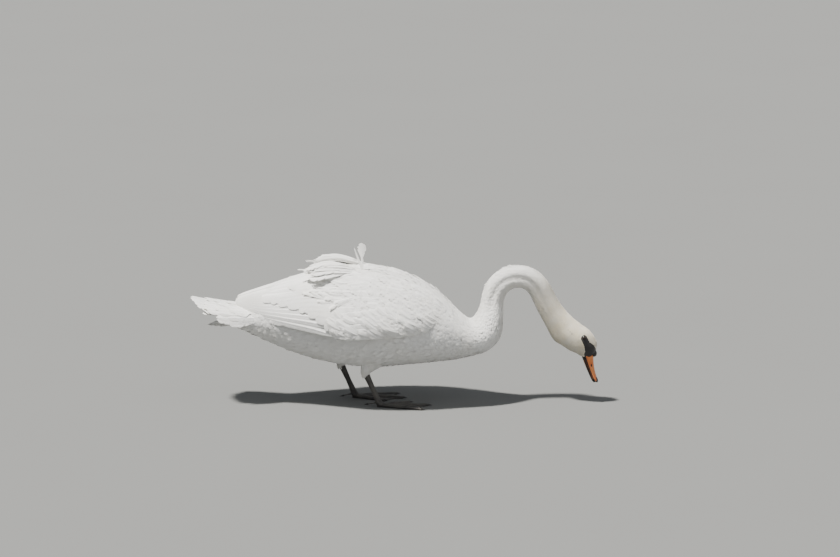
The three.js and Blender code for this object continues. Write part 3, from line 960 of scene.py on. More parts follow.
def plumage_colour(paint):
    """White, warming to cream on the head, with faint stains and painted shade in each ear's crease; the same
    on skin and feathers.
    """
    place = paint.place()
    near_head = 1 - paint.distance(place, HEAD_MIDDLE).step(0.05, 0.26)
    mottle = paint.noise(place, 42.0)
    warmth = near_head * (0.25 + 0.9 * mottle) + 0.12 * paint.noise(place, 9.0).step(0.45, 0.75)
    tint = paint.mix(warmth, WHITE, CREAM)
    worn = paint.noise(paint.scaled(place, (1.0, 1.0, 0.7)), 120.0, 4.0).step(0.47, 0.78)
    tint = paint.mix(worn * near_head * 0.42, tint, STAIN)
    # painted shade: a soft dark spot on each ear's crease, where no crease is modelled
    for side in SIDES.values():
        for x, y, z in EAR_CREASE:
            spot = tuple(float(v) for v in placed(rolled([x, side * y, z])) * MM)
            tint = paint.mix((1 - paint.distance(place, spot).step(0.001, 0.0048)) * 0.5, tint, EAR_CREASE_PAINTED_SHADE)
    soil = (1 - paint.part(place, 2).step(0.06, 0.2)) * paint.noise(place, 22.0).step(0.4, 0.7) * 0.25
    return paint.mix(soil, tint, STAIN)


def feather_shader(name):
    """The soft sheen of feathers, which let a little light through."""
    return Paint(
        name, Sheen_Weight=0.25, Sheen_Roughness=0.5, Specular_IOR_Level=0.3, Subsurface_Weight=0.3,
        Subsurface_Radius=(1.0, 0.95, 0.85), Subsurface_Scale=0.006
    )


def down_paint():
    """Down and short wisps: fine streaks that run with each wisp."""
    paint = feather_shader("down")
    along, across = paint.vane()
    streaks = paint.noise(paint.vector(along * 24.0, across * 190.0), 1.0, 3.0)
    paint.bump(streaks, 0.45, 0.0007)
    paint.colour(paint.mix(streaks.step(0.55, 0.95) * 0.15, plumage_colour(paint), STAIN))
    paint.rough(0.7 + 0.12 * streaks)
    return paint.material


def feather_paint(name, barb_strength, roughness=0.62):
    """Feathers: barbs slant from the shaft, cling in groups, and catch the light as a soft sheen."""
    paint = feather_shader(name)
    along, across = paint.vane()
    slant = along - 0.9 * across.size()
    barbs = (slant * (TAU / BARB_GAP)).wave()
    groups = paint.noise(paint.vector(slant * 22.0, across * 5.0), 1.0, 5.0)
    paint.bump(groups, barb_strength, 0.0035)
    paint.bump(barbs, 0.3 * barb_strength, 0.0002)
    paint.colour(paint.mix(groups.step(0.5, 0.95) * 0.12, plumage_colour(paint), STAIN))
    paint.rough(roughness + 0.12 * groups)
    return paint.material


def skin_paint():
    """Down-covered skin, and the bare black skin of the lores and round the eyes."""
    paint = Paint("swan skin", Sheen_Weight=0.2, Specular_IOR_Level=0.35)
    place = paint.place()
    ragged = paint.number("bare") + 1.1 * (paint.noise(place, 420.0) - 0.5)
    bare_skin = ragged.step(-0.25, 0.25)
    wrinkles = paint.cells(paint.scaled(place, (1.0, 1.0, 1.6)), 520.0)
    down = paint.noise(place, 300.0, 4.0)
    paint.bump(down, 0.35, 0.0008)
    paint.bump(bare_skin * wrinkles, 0.5, 0.0006)
    paint.colour(paint.mix(bare_skin, plumage_colour(paint), BLACK_SKIN))
    paint.rough(0.75 - 0.3 * bare_skin)
    return paint.material


def bill_paint():
    """Orange horn with black edges, base, nostrils and tip."""
    paint = Paint("orange bill", Specular_IOR_Level=0.45, Coat_Roughness=0.35)
    place = paint.place()
    cloud = paint.noise(place, 60.0, 4.0)
    streak = paint.noise(paint.scaled(place, (90.0, 260.0, 70.0)), 1.0, 3.0)
    orange = paint.mix(cloud.step(0.3, 0.75), ORANGE_DEEP, ORANGE)
    worn = paint.mix(streak.step(0.52, 0.8) * 0.6, orange, RUST)
    edge = paint.number("black") + 1.6 * (paint.noise(place, 240.0) - 0.5)
    black = edge.step(-0.35, 0.35)
    paint.colour(paint.mix(black, worn, BILL_BLACK))
    paint.rough(0.4 + 0.16 * streak + 0.06 * black)
    paint.set("Coat Weight", 0.18 * (1 - black))
    paint.bump(streak, 0.25, 0.0005)
    paint.bump(paint.cells(place, 900.0), 0.12, 0.0002)
    return paint.material


def horn_paint():
    """Black horn of claws, nail and knob: fine lengthwise streaks, paler where it is worn."""
    paint = Paint("black horn", Specular_IOR_Level=0.5)
    place = paint.place()
    streak = paint.noise(paint.scaled(place, (60.0, 320.0, 220.0)), 1.0, 4.0)
    paint.colour(paint.mix(streak.step(0.5, 0.85), HORN_BLACK, HORN_WORN))
    paint.rough(0.36 + 0.2 * streak)
    paint.bump(streak, 0.3, 0.0005)
    paint.bump(paint.noise(place, 700.0), 0.2, 0.0003)
    return paint.material


def leg_paint():
    """Grey-black leathery skin in small scales, with dust between them and on the webs."""
    paint = Paint("leg skin", Specular_IOR_Level=0.45)
    place = paint.place()
    edges = paint.cells(place, 330.0, "DISTANCE_TO_EDGE")
    scales = edges.step(0.0, 0.14)
    cloud = paint.noise(place, 45.0, 4.0)
    grey = paint.mix(cloud.step(0.35, 0.7), LEG_DARK, LEG_GREY)
    paint.colour(paint.mix((1 - scales) * 0.55, grey, LEG_DUST))
    paint.rough(0.5 + 0.18 * cloud - 0.08 * scales)
    paint.bump(scales, 0.5, 0.0007)
    paint.bump(cloud, 0.3, 0.002)
    return paint.material


def eye_paint():
    """A dark hazel iris round a black pupil, under a wet surface."""
    paint = Paint("swan eye", Specular_IOR_Level=0.2, Coat_Weight=0.5, Coat_Roughness=0.04)
    gaze = paint.number("gaze")
    iris = 1 - paint.noise(paint.vector(gaze * 0.08, paint.number("round") * 9.0), 6.0).step(0.3, 0.7) * 0.6
    hazel = paint.mix(iris, IRIS_DARK, IRIS_HAZEL)
    rim = paint.mix(gaze.step(*RIM_EDGE), hazel, IRIS_RIM)
    paint.colour(paint.mix(1 - gaze.step(*PUPIL_EDGE), rim, PUPIL))
    paint.rough(0.08 + 0.1 * gaze.step(*WHITE_EDGE))
    return paint.material


def floor_paint():
    paint = Paint("pale floor", Specular_IOR_Level=0.15)
    cloud = paint.noise(paint.place(), 1.3, 3.0)
    paint.colour(paint.mix(cloud * 0.35, FLOOR_DARK, FLOOR_PALE))
    paint.rough(0.85 + 0.06 * cloud)
    return paint.material


DOWN = down_paint()
DOWNY = feather_paint("body feathers", 0.45, 0.7)
FIRM = feather_paint("wing feathers", 0.35, 0.55)
SKIN = skin_paint()
HORN = horn_paint()
LEG = leg_paint()


# ---------------------------------------------------------------- skin
EYE_RADIUS = 6.2
EYE_CENTRE = {name: rolled(EYE_PLACE * [1, side, 1]) for name, side in SIDES.items()}
LID_REACH = 7.4  # from the eye's middle, where feathers begin


SKIN_FROM, FINER_FROM = 0.012, 0.8  # shares of the spine
SKIN_ROWS, HEAD_ROWS, SKIN_ROUND = 150, 100, 132
CLOSING = [1.2, 5]  # how much deeper the rings lie that close the skin inside the bill
THIGH_DEPTH, WING_DEPTH = 3.5, 9  # how deep the flesh lies under the feathers
EYE_RIDGE, RIDGE_AWAY, RIDGE_WIDTH = 0.7, 10, 2.6  # a low ring of skin round each eye
SOCKET_DEPTH, SOCKET_WIDTH = 1.6, 5.5


def skin_rings():
    """The skin under the coat: its rings, and each point's share of the spine and angle round it."""
    trunk = np.linspace(SKIN_FROM, FINER_FROM, SKIN_ROWS)
    head = np.linspace(FINER_FROM, 1, HEAD_ROWS)[1:]
    shares = np.concatenate([trunk, head, np.ones(len(CLOSING))])
    extra = np.concatenate([0 * trunk, 0 * head, CLOSING])
    share, angle = grid(shares, ring(SKIN_ROUND))
    depth = coat(DEPTH, share) + extra[:, None]
    points = body(share, angle, depth)
    out = unit(points - body(share, angle, depth + 3))
    for name in SIDES:
        away = np.linalg.norm(points - placed(EYE_CENTRE[name]), axis=-1)
        ridge = EYE_RIDGE * np.exp(-(((away - RIDGE_AWAY) / RIDGE_WIDTH) ** 2))
        socket = SOCKET_DEPTH * np.exp(-((away / SOCKET_WIDTH) ** 2))
        points = points + (ridge - socket)[..., None] * out
    return points, share, angle


def flesh(sheet, depth, start, end, rows, columns):
    """A limb's flesh, a closed loft under a sheet."""
    a, b = grid(np.linspace(start, end, rows), ring(columns))
    values = {"bare": np.full(a.shape, FEATHERED)}
    return loft("flesh", sheet.place(a, b, depth), SKIN, values=values)


def skin():
    """The one skin, with the thighs and the wings' flesh joined to it."""
    points, share, angle = skin_rings()
    whole = loft("skin", points, SKIN, values={"bare": bare(share, angle)})
    limbs = []
    for name in SIDES:
        limbs.append(flesh(THIGHS[name], THIGH_DEPTH, 1.0, 0.02, 20, 28))
        limbs.append(flesh(WING[name], WING_DEPTH, 0.97, 0.12, 44, 40))
    whole = join_pieces("skin", [whole, *limbs])
    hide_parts("rump", "trunk", "breast", "neck_rise", "neck_arch", "neck_fall", "head")
    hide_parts(*(f"thigh_{name}" for name in SIDES))
    return finish_piece(whole, "plumage")


def finish_piece(piece, slot, *nodes):
    """What every piece needs: its body, and the nodes that it stands for hidden. The slot is not used."""
    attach(piece, "root")
    if nodes:
        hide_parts(*nodes)
    return piece


# ---------------------------------------------------------------- coat of the body
HIDDEN_FROM, HIDDEN_TO = -335, 120  # how far along the bird a folded wing hides the trunk
HIDDEN_BAND = 0.8  # and how far up and down, as a share of the wing's half height
HIDDEN_UNDER = 0.55  # places at less than this share of the wing's bulge lie under it


def under_wing(points):
    """True for places on the trunk that a folded wing hides."""
    x = points[:, 0]
    _, middle, half, down, out, bulge = wing_frame(FOLDED_WING, wing_at(x))
    arm = np.stack([np.abs(points[:, 1]), points[:, 2]], -1) - middle
    low = (arm * down).sum(-1) / half
    proud = (arm * out).sum(-1) / bulge
    return (x < HIDDEN_TO) & (x > HIDDEN_FROM) & (np.abs(low) < HIDDEN_BAND) & (proud < HIDDEN_UNDER)


RUFFLED = (0.584, 0.638, 0.652)  # where tufts stand up on the back of the neck, as shares of the spine
RUFFLE_LONG, RUFFLE_ROUND = 0.005, 0.14
BODY_STRETCHES = {
    "feathers_rump": (0.022, 0.15),
    "feathers_trunk": (0.15, 0.31),
    "feathers_breast": (0.31, 0.5),
    "feathers_neck_rise": (0.5, 0.62),
    "feathers_neck_arch": (0.62, 0.72),
    "feathers_neck_fall": (0.72, 0.83),
}
FIRST_SEED = 100
DOWN_FROM = 0.5  # share of the spine from which the feathers are wisps of down


def body_tract(low, high, seed):
    """Contour feathers over a stretch of the body, in a random but fixed disorder."""
    rng = np.random.default_rng(seed)
    a, b = rings_of_roots(BODY, low, high, lambda share: coat(SPACING, share), seed=seed)
    count = len(a)
    length = coat(LENGTH, a) * rng.uniform(0.85, 1.15, count)
    round_it = (np.sin(b / 2) / RUFFLE_ROUND) ** 2
    ruffled = sum(np.exp(-(((a - share) / RUFFLE_LONG) ** 2) - round_it) for share in RUFFLED)
    tract = feathers(
        a, b, length, coat(WIDTH, a) * rng.uniform(0.9, 1.1, count), heading=rng.normal(0, 0.09, count),
        bend=rng.normal(0, 0.12, count), low=coat(DEPTH, a),
        high=rng.uniform(-0.18, 0.05, count) * coat(DEPTH, a), thick=0.018 * length + 0.15,
        twist=0.04 * either(rng, count), lift=0.07 * rng.random(count) ** 6 + 0.22 * ruffled
    )
    return picked(tract, ~under_wing(body(a, b)))


def body_coat():
    rng = np.random.default_rng(11)
    leaves = [contour_template(rng, 0.17) for _ in range(4)]
    tufts = [tuft_template(rng) for _ in range(4)]
    for seed, (name, (low, high)) in enumerate(BODY_STRETCHES.items(), FIRST_SEED):
        tract = body_tract(low, high, seed)
        templates, material = (tufts, DOWN) if low >= DOWN_FROM else (leaves, DOWNY)
        finish_piece(coat_piece(name, spread(BODY, tract, templates, body_unwrap), material), "plumage")


def thigh_coat():
    """Small soft feathers down to the hock."""
    rng = np.random.default_rng(12)
    templates = [contour_template(rng, 0.3) for _ in range(3)]
    for name, sheet in THIGHS.items():
        a, b = rings_of_roots(sheet, 0.2, 0.85, lambda share: 4.5 + 4 * share, seed=13)
        length = (15 + 16 * a) * rng.uniform(0.85, 1.2, len(a))
        tract = feathers(
            a, b, length, 0.45 * length, heading=rng.normal(0, 0.15, len(a)), low=5,
            high=rng.uniform(-0.5, 1, len(a)) - 7 * (1 - a) ** 2, thick=0.6,
            twist=0.08 * either(rng, len(a))
        )
        parts = spread(sheet, tract, templates, body_unwrap)
        finish_piece(coat_piece(f"feathers_thigh_{name}", parts, DOWNY), "plumage")


# ---------------------------------------------------------------- coat of the head
def scatter_tree(name, material):
    """Sets a template on points that carry turn, extent and root, and maps each copy to its root's patch."""
    tree = bpy.data.node_groups.new(name, "GeometryNodeTree")
    sockets = {}
    kinds = {"Points": "Geometry", "Template": "Object", "Size": "Float", "Patch": "Float"}
    for label, kind in kinds.items():
        made = tree.interface.new_socket(label, in_out="INPUT", socket_type=f"NodeSocket{kind}")
        sockets[label] = made.identifier
    tree.interface.new_socket("Geometry", in_out="OUTPUT", socket_type="NodeSocketGeometry")

    def node(kind, settings=None, inputs=None):
        return add_node(tree, kind, settings, inputs).outputs[0]

    def vector(attribute):
        return node("GeometryNodeInputNamedAttribute", {"data_type": "FLOAT_VECTOR"}, {"Name": attribute})

    def combined(operation, first, second):
        return node("ShaderNodeVectorMath", {"operation": operation}, {0: first, 1: second})

    def scaled(value, factor):
        return node("ShaderNodeVectorMath", {"operation": "SCALE"}, {0: value, "Scale": factor})

    def mapped(shape, key, value):
        settings = {"data_type": "FLOAT2", "domain": "CORNER"}
        return node("GeometryNodeStoreNamedAttribute", settings, {0: shape, "Name": key, "Value": value})

    given = add_node(tree, "NodeGroupInput").outputs
    source = add_node(tree, "GeometryNodeObjectInfo", None, {"Object": given["Template"]})
    inputs = {
        "Points": given["Points"],
        "Instance": source.outputs["Geometry"],
        "Rotation": vector("turn"),
        "Scale": scaled(vector("extent"), given["Size"]),
    }
    real = node("GeometryNodeRealizeInstances", None, {0: node("GeometryNodeInstanceOnPoints", None, inputs)})
    real = mapped(real, "OFBake", combined("ADD", vector("root"), scaled(vector("local"), given["Patch"])))
    stretched = combined("MULTIPLY", vector("local"), vector("extent"))
    real = mapped(real, "vane", scaled(stretched, 1 / (VANE_UNIT * MM)))
    painted = node("GeometryNodeSetMaterial", None, {0: real, "Material": material})
    add_node(tree, "NodeGroupOutput", None, {0: painted})
    return tree, sockets


def euler(x_way, y_way, z_way):
    """The XYZ turns of frames given by three unit vectors each."""
    pitch = np.arcsin(np.clip(-x_way[:, 2], -1, 1))
    return np.stack([np.arctan2(y_way[:, 2], z_way[:, 2]), pitch, np.arctan2(x_way[:, 1], x_way[:, 0])], -1)


def scattered(name, points, ways, extents, roots, template, material):
    """A plain mesh of copies of a template at points, by Geometry Nodes."""
    mesh = points_mesh(name, points)
    for key, value in {"turn": euler(*ways), "extent": extents * MM, "root": roots}.items():
        store(mesh, key, value)
    piece = linked(name, mesh)
    shape, (loops, sizes) = template[0], template_faces(template)
    source = new_piece(f"{name}_template", shape / MM, loops, sizes, material)
    store(source.data, "local", np.stack([shape[:, 0] - 0.5, shape[:, 1] / 2, 0 * shape[:, 0]], -1))
    modifier = piece.modifiers.new("Scatter", "NODES")
    modifier.node_group, sockets = scatter_tree(name, material)
    for key, value in {"Template": source, "Size": 1.0, "Patch": PATCH}.items():
        modifier[sockets[key]] = value
    make_plain(piece)
    bpy.data.objects.remove(source)
    piece.data.set_sharp_from_angle(angle=SHARP_FROM)
    for key in ("turn", "extent", "root", "local"):
        if key in piece.data.attributes:
            piece.data.attributes.remove(piece.data.attributes[key])
    return piece


BARE_EDGE = 0.1  # tufts stand on this much of the bare skin's border
TUFT_SUNK = 0.95  # how deep a tuft's root sits, as a share of the coat's depth


def head_coat(name, low, high, seed):
    """Short tufts over the head or face, leaving the lores, the eyes and the bill's base bare."""
    rng = np.random.default_rng(seed)
    a, b = rings_of_roots(BODY, low, high, lambda share: coat(SPACING, share), seed=seed)
    points, slope_a, _, normal = BODY.frame(a, b)
    clear = bare(a, b) < BARE_EDGE
    for side in SIDES:
        clear &= np.linalg.norm(points - placed(EYE_CENTRE[side]), axis=-1) > LID_REACH
    a, b, points, slope_a, normal = (value[clear] for value in (a, b, points, slope_a, normal))
    count = len(a)
    depth = coat(DEPTH, a)
    length = coat(LENGTH, a) * rng.uniform(0.85, 1.15, count)
    back = -unit(slope_a)
    ahead = turned(rng.normal(0, 0.17, count)[:, None], back, np.cross(normal, back))
    slope = depth / length * rng.uniform(0.85, 1.1, count)
    ahead = unit(ahead + slope[:, None] * normal)
    side = unit(np.cross(normal, ahead))
    extents = np.stack([length, coat(WIDTH, a) / 2, 0.11 * length], -1)
    roots = np.concatenate([body_unwrap(a, b), np.zeros((count, 1))], -1)
    points = points - TUFT_SUNK * depth[:, None] * normal
    ways = (ahead, side, np.cross(ahead, side))
    piece = scattered(name, points, ways, extents, roots, tuft_template(rng), DOWN)
    finish_piece(piece, "head_plumage")


# ---------------------------------------------------------------- coat of the wings
# Rows of soft feathers over a wing: where each begins, and how long its feathers are.
SCAPULAR_ROWS = ((0.5, 92), (0.6, 84), (0.7, 76), (0.79, 62), (0.87, 50), (0.94, 40))
FLANK_ROWS = ((0.6, 72), (0.66, 78), (0.72, 80), (0.78, 76), (0.84, 66), (0.9, 56))
GREAT_COVERTS, SCAPULARS, PLUMES = 17, 15, 10  # feathers in each row


def covert_edge(b):
    """Where the coverts end on a wing: further back at its upper edge."""
    return np.interp(b, [0, math.pi], [0.5, 0.74])


def small_coverts(name, rng):
    """Scale-like rows that lengthen away from the wing's front."""
    sheet = WING[name]
    a, b = rings_of_roots(sheet, 0.42, 0.99, lambda a: 20.5 - 12 * a, -0.7, math.pi + 0.5, seed=31)
    keep = a > covert_edge(b)
    a, b = a[keep], b[keep]
    length = (27 + 52 * (1 - a)) * rng.uniform(0.9, 1.1, len(a))
    return feathers(
        a, b, length, 0.55 * length, heading=rng.normal(0, 0.06, len(a)),
        bend=rng.normal(0, 0.08, len(a)), low=7, high=rng.uniform(-0.8, 0.4, len(a)),
        thick=0.02 * length, twist=0.045 * either(rng, len(a)), lift=0.08 * rng.random(len(a)) ** 6
    )


def great_coverts(rng):
    """Two overlapping rows over the roots of the flight feathers."""
    tracts = []
    for row, length in enumerate((88, 66)):
        b = np.linspace(0.25, 3.0, GREAT_COVERTS) + 0.08 * row
        a = covert_edge(b) + 0.035 + 0.05 * row + rng.uniform(-0.008, 0.008, len(b))
        length = length * rng.uniform(0.93, 1.07, len(b))
        shape = dict(heading=rng.normal(0, 0.03, len(b)), low=6, high=0.6 * row, thick=0.9, twist=0.07)
        tracts.append(feathers(a, b, length, 25, **shape))
    return tracts


def scapulars(rng):
    """Long soft feathers from the shoulder, over the wing's upper edge and the back beside it."""
    tracts = []
    for row, (a, length) in enumerate(SCAPULAR_ROWS):
        b = np.linspace(-1.9, 1.05, SCAPULARS) + 0.1 * (row % 2) + rng.uniform(-0.05, 0.05, SCAPULARS)
        length = length * rng.uniform(0.9, 1.1, len(b))
        tracts.append(
            feathers(
                a + rng.uniform(-0.012, 0.012, len(b)), b, length, 0.36 * length,
                heading=rng.normal(0, 0.06, len(b)), low=6, high=0.2 + 0.25 * row, thick=0.9,
                twist=0.05 * either(rng, len(b)), lift=0.05 * rng.random(len(b)) ** 4
            )
        )
    return tracts


def flank_plumes(rng):
    """Soft feathers that curl from the flank up over the wing's lower edge."""
    tracts = []
    for row, (a, length) in enumerate(FLANK_ROWS):
        b = np.linspace(3.4, 2.3, PLUMES) + rng.uniform(-0.06, 0.06, PLUMES)
        length = length * rng.uniform(0.85, 1.15, len(b))
        tracts.append(
            feathers(
                a + rng.uniform(-0.02, 0.02, len(b)), b, length, 0.21 * length,
                heading=-rng.uniform(0.05, 0.4, len(b)), bend=-rng.uniform(0.2, 0.75, len(b)), low=6,
                high=0.6 + 0.25 * row, thick=0.8, twist=0.06 * either(rng, len(b)), camber=0.08,
                lift=0.06 * rng.random(len(b)) ** 2
            )
        )
    return tracts


WING_TIP = -443
PRIMARIES, SECONDARIES, INNER_TERTIALS, LOOSE_FEATHERS = 13, 9, 11, 18
WING_TAPER = 0.93  # how far a feather reaches back along the bird for its length, as the wing narrows


def tipped(tip_x, b, length, width, **others):
    """Long feathers that end at given distances along the bird."""
    return feathers(wing_at(tip_x + WING_TAPER * length), b, length, width, dip=1, **others)


def flight_feathers(name):
    """Primaries under secondaries under tertials, each laid from the lowest up."""
    rng = np.random.default_rng(41)
    templates = [vane_template(rng, 30, splits=0.12, tip=0.1) for _ in range(3)]
    level = np.linspace(0.97, -1.3, PRIMARIES)
    primaries = tipped(
        WING_TIP + np.where(level > 0, 48, 16) * np.abs(level) ** 1.5, level,
        np.linspace(300, 340, PRIMARIES), 24, low=3, high=-2.4 + 0.2 * np.arange(PRIMARIES), thick=1.2,
        camber=0.08, twist=0.09
    )
    secondaries = tipped(
        np.linspace(-150, -352, SECONDARIES) + rng.uniform(-9, 9, SECONDARIES),
        np.linspace(0.86, -0.4, SECONDARIES), np.linspace(170, 215, SECONDARIES), 40, low=4,
        high=-0.9 + 0.28 * np.arange(SECONDARIES), thick=1.3, camber=0.07, twist=0.13, lift=-0.0105
    )
    tertials = tipped(
        np.linspace(-322, -352, INNER_TERTIALS) + rng.uniform(-30, 30, INNER_TERTIALS),
        np.linspace(-0.35, -1.75, INNER_TERTIALS), np.linspace(205, 235, INNER_TERTIALS), 33, low=3,
        high=1.6 + 0.15 * np.arange(INNER_TERTIALS), thick=1.3, camber=0.08, twist=0.06, lift=-0.022
    )
    parts = []
    for tract in (primaries, secondaries, tertials):
        parts += spread(FLIGHT[name], tract, templates, wing_unwrap)
    loose = [vane_template(rng, 16, splits=0.4, tip=0.5, slant=0.3) for _ in range(3)]
    count = LOOSE_FEATHERS
    ruffled = tipped(
        rng.uniform(-245, -150, count), rng.uniform(-0.55, 0.25, count), rng.uniform(48, 74, count),
        rng.uniform(11, 17, count), heading=rng.normal(-0.12, 0.22, count),
        bend=rng.normal(-0.1, 0.35, count), low=4, high=3.2, thick=0.8, camber=0.1,
        twist=rng.uniform(-0.1, 0.2, count), lift=rng.uniform(0, 0.07, count)
    )
    return parts + spread(FLIGHT[name], ruffled, loose, wing_unwrap)


CLOAK_LAYERS, CLOAK_COUNT = 3, 12  # feathers in the lowest layer, and one fewer in each above it


def raised_tertials(name):
    """The loose tuft that stands up at the back of each wing, its tips spread and frayed."""
    rng = np.random.default_rng(51)
    templates = [vane_template(rng, 24, splits=0.34, tip=0.34, slant=0.2) for _ in range(4)]
    parts = []
    for layer in range(CLOAK_LAYERS):
        count = CLOAK_COUNT - layer
        b = np.linspace(-1.6, -0.08, count) + rng.uniform(-0.05, 0.05, count)
        tract = feathers(
            rng.uniform(0.98, 1.08, count) - 0.12 * layer, b, rng.uniform(128, 164, count) - 8 * layer,
            rng.uniform(15, 21, count), heading=rng.normal(0.02, 0.06, count),
            bend=rng.normal(0, 0.14, count), low=4, high=-5 + 2 * layer - 12 * smooth(-0.7, -0.1, b),
            thick=0.9, twist=0.12, camber=0.1, lift=rng.uniform(-0.03, 0.05, count), dip=1
        )
        parts += spread(CLOAK[name], tract, templates, wing_unwrap)
    return parts


def wing_coats():
    for name in SIDES:
        rng = np.random.default_rng(61)
        short = [contour_template(rng, 0.28) for _ in range(4)]
        broad = [vane_template(rng, 12, splits=0.16, tip=0.35, slant=0.16) for _ in range(3)]
        sheet = WING[name]
        parts = spread(sheet, small_coverts(name, rng), short, wing_unwrap)
        for tract in (*great_coverts(rng), *scapulars(rng), *flank_plumes(rng)):
            parts += spread(sheet, tract, broad, wing_unwrap)
        covers = coat_piece(f"coverts_{name}", parts, FIRM)
        finish_piece(covers, "plumage", f"wing_{name}_coverts")
        flight = coat_piece(f"flight_feathers_{name}", flight_feathers(name), FIRM)
        finish_piece(flight, "plumage", f"wing_{name}_primaries")
        tuft = coat_piece(f"tertials_{name}", raised_tertials(name), FIRM)
        finish_piece(tuft, "plumage", f"wing_{name}_tertials")


# ---------------------------------------------------------------- tail and plume
TAIL_FEATHERS = 22
FAN_START = 50  # how far behind the tail's root the stiff feathers begin
TAIL_COVERTS = ((112, 78), (86, 76), (60, 70))  # each row's distance from the root, and its length
COVERT_COUNT = 13  # in the last row, and one fewer in each row before it
# The soft feathers down each side of the tail's root, from the lowest up: distance and length.
HANGING = [(80, 52), (64, 76), (84, 80), (48, 88), (70, 96), (30, 88), (52, 104), (14, 76), (34, 98)]


def tail_coat():
    """The fan of stiff feathers, the middle ones on top, and soft coverts over and under its root."""
    rng = np.random.default_rng(71)
    stiff = [vane_template(rng, 22, splits=0.16, tip=0.14) for _ in range(3)]
    soft = [vane_template(rng, 12, splits=0.2, tip=0.35) for _ in range(3)]
    across = np.linspace(-1, 1, TAIL_FEATHERS)
    reach = TAIL_LENGTH - 40 * across**2 + rng.uniform(-3, 3, TAIL_FEATHERS)
    fan = feathers(
        1 - FAN_START / TAIL_LENGTH, 0.93 * across, reach - FAN_START, 31 - 6 * np.abs(across),
        heading=0, low=0, high=2.2 - 3.6 * np.abs(across), thick=1.2, camber=0.04,
        twist=-0.05 * np.sign(across), dip=1
    )
    parts = spread(TAIL, fan, stiff, tail_unwrap)
    for row, (run, length) in enumerate(TAIL_COVERTS):
        count = COVERT_COUNT - row
        b = np.linspace(-0.92, 0.92, count)
        for level in (1, -1):
            tract = feathers(
                1 - (run + rng.uniform(-6, 6, count)) / TAIL_LENGTH, b,
                length * rng.uniform(0.9, 1.1, count), 24, heading=rng.normal(0, 0.05, count), low=-2,
                high=(5.5 if level > 0 else -4.5) + level * 2.2 * row - 3 * np.abs(b), thick=0.9,
                twist=0.04 * either(rng, count), camber=0.05 * level, dip=1
            )
            parts += spread(TAIL, tract, soft, tail_unwrap)
    run, length = np.array(HANGING).T
    row = np.arange(len(run))
    for way in (1, -1):
        tract = feathers(
            1 - run / TAIL_LENGTH, way * (1.34 - 0.042 * row), length, 23,
            heading=rng.normal(0, 0.04, len(run)), low=-1, high=2.0 + 0.4 * row, thick=0.9,
            twist=0.04 * way, camber=0.09, dip=1
        )
        parts += spread(TAIL, tract, soft, tail_unwrap)
    finish_piece(coat_piece("tail_feathers", parts, FIRM), "plumage", "tail")


PLUME_ROOT = (-82, 360)  # along the bird and up
PLUME_ROUND = 0.012  # how much the plume's plane is hollowed across


def leaf_sheet(lean, reach, curl):
    """An upright plane through the plume's root, for a feather of one length that curls a little."""

    def place(a, b, depth=0.0):
        a, b = arrays(a, b)
        up = reach * (1 - a)
        x = PLUME_ROOT[0] + b * math.cos(lean) + up * math.sin(lean)
        z = PLUME_ROOT[1] - b * math.sin(lean) + up * math.cos(lean)
        return at(x, curl * (1 - a) ** 2 + PLUME_ROUND * b * b - depth, z)

    return Sheet(place, (0.5, 0), (0, -1, 0))


def loose_plume():
    """One feather that stands up from the back, with a narrow one beside it."""
    rng = np.random.default_rng(81)
    broad = vane_template(rng, 26, splits=0.2, tip=0.26, slant=0.1, stem=(0.42, 0.76))
    narrow = vane_template(rng, 18, splits=0.0, tip=0.8)
    leaves = ((broad, math.radians(-2), 78, 24, 2.5), (narrow, math.radians(-19), 70, 5.5, -1.5))
    parts = []
    for template, lean, reach, width, curl in leaves:
        tract = feathers([1.0], [0.0], reach, width, low=0, high=0, thick=0.7, camber=0, twist=0, dip=1)
        parts.append(lay(leaf_sheet(lean, reach, curl), tract, template, wing_unwrap))
    finish_piece(coat_piece("loose_plume", parts, FIRM), "plumage", "back_plume")


# ---------------------------------------------------------------- bill
BILL_FROM, BILL_ROWS, BILL_ROUND = -0.14, 90, 72  # the bill begins inside the head
BILL_SQUARENESS = 2.4
FLAT_SIDE = 1.2  # how far a half of the bill swells past its flat base
# Each half of the bill: its share of the full width, its drop below the gape, and how far the black
# reaches from the cutting edge and from the feathers.
UPPER_HALF, LOWER_HALF = (1, 0, 2.4, 2.2), (0.84, 3.2, 4.2, 13)
NOSTRIL = (0.4, 0.62)  # share along the bill, and share of the side's rise
NOSTRIL_BED, NOSTRIL_SLIT = (5.0, 3.0), (3.6, 1.4)  # half length and half height
NOSTRIL_RISE = 13  # millimetres of the bill's side for one share of rise
KNOB_BLACK = 7  # radius of the black at the culmen's root


def bill_half_width(share):
    """Widest at both ends, with a slight waist and a round tip."""
    waist = 1 - 0.1 * np.sin(math.pi * share)
    past = np.maximum(0, share - 0.8) / 0.205
    return BILL_HALF_WIDTH * waist * np.sqrt(np.maximum(0.02, 1 - past**2))


def culmen(share):
    return 6 + 17 * (1 - share) ** 1.7


def gape(share):
    return -7 - 1.5 * np.sin(math.pi * share)


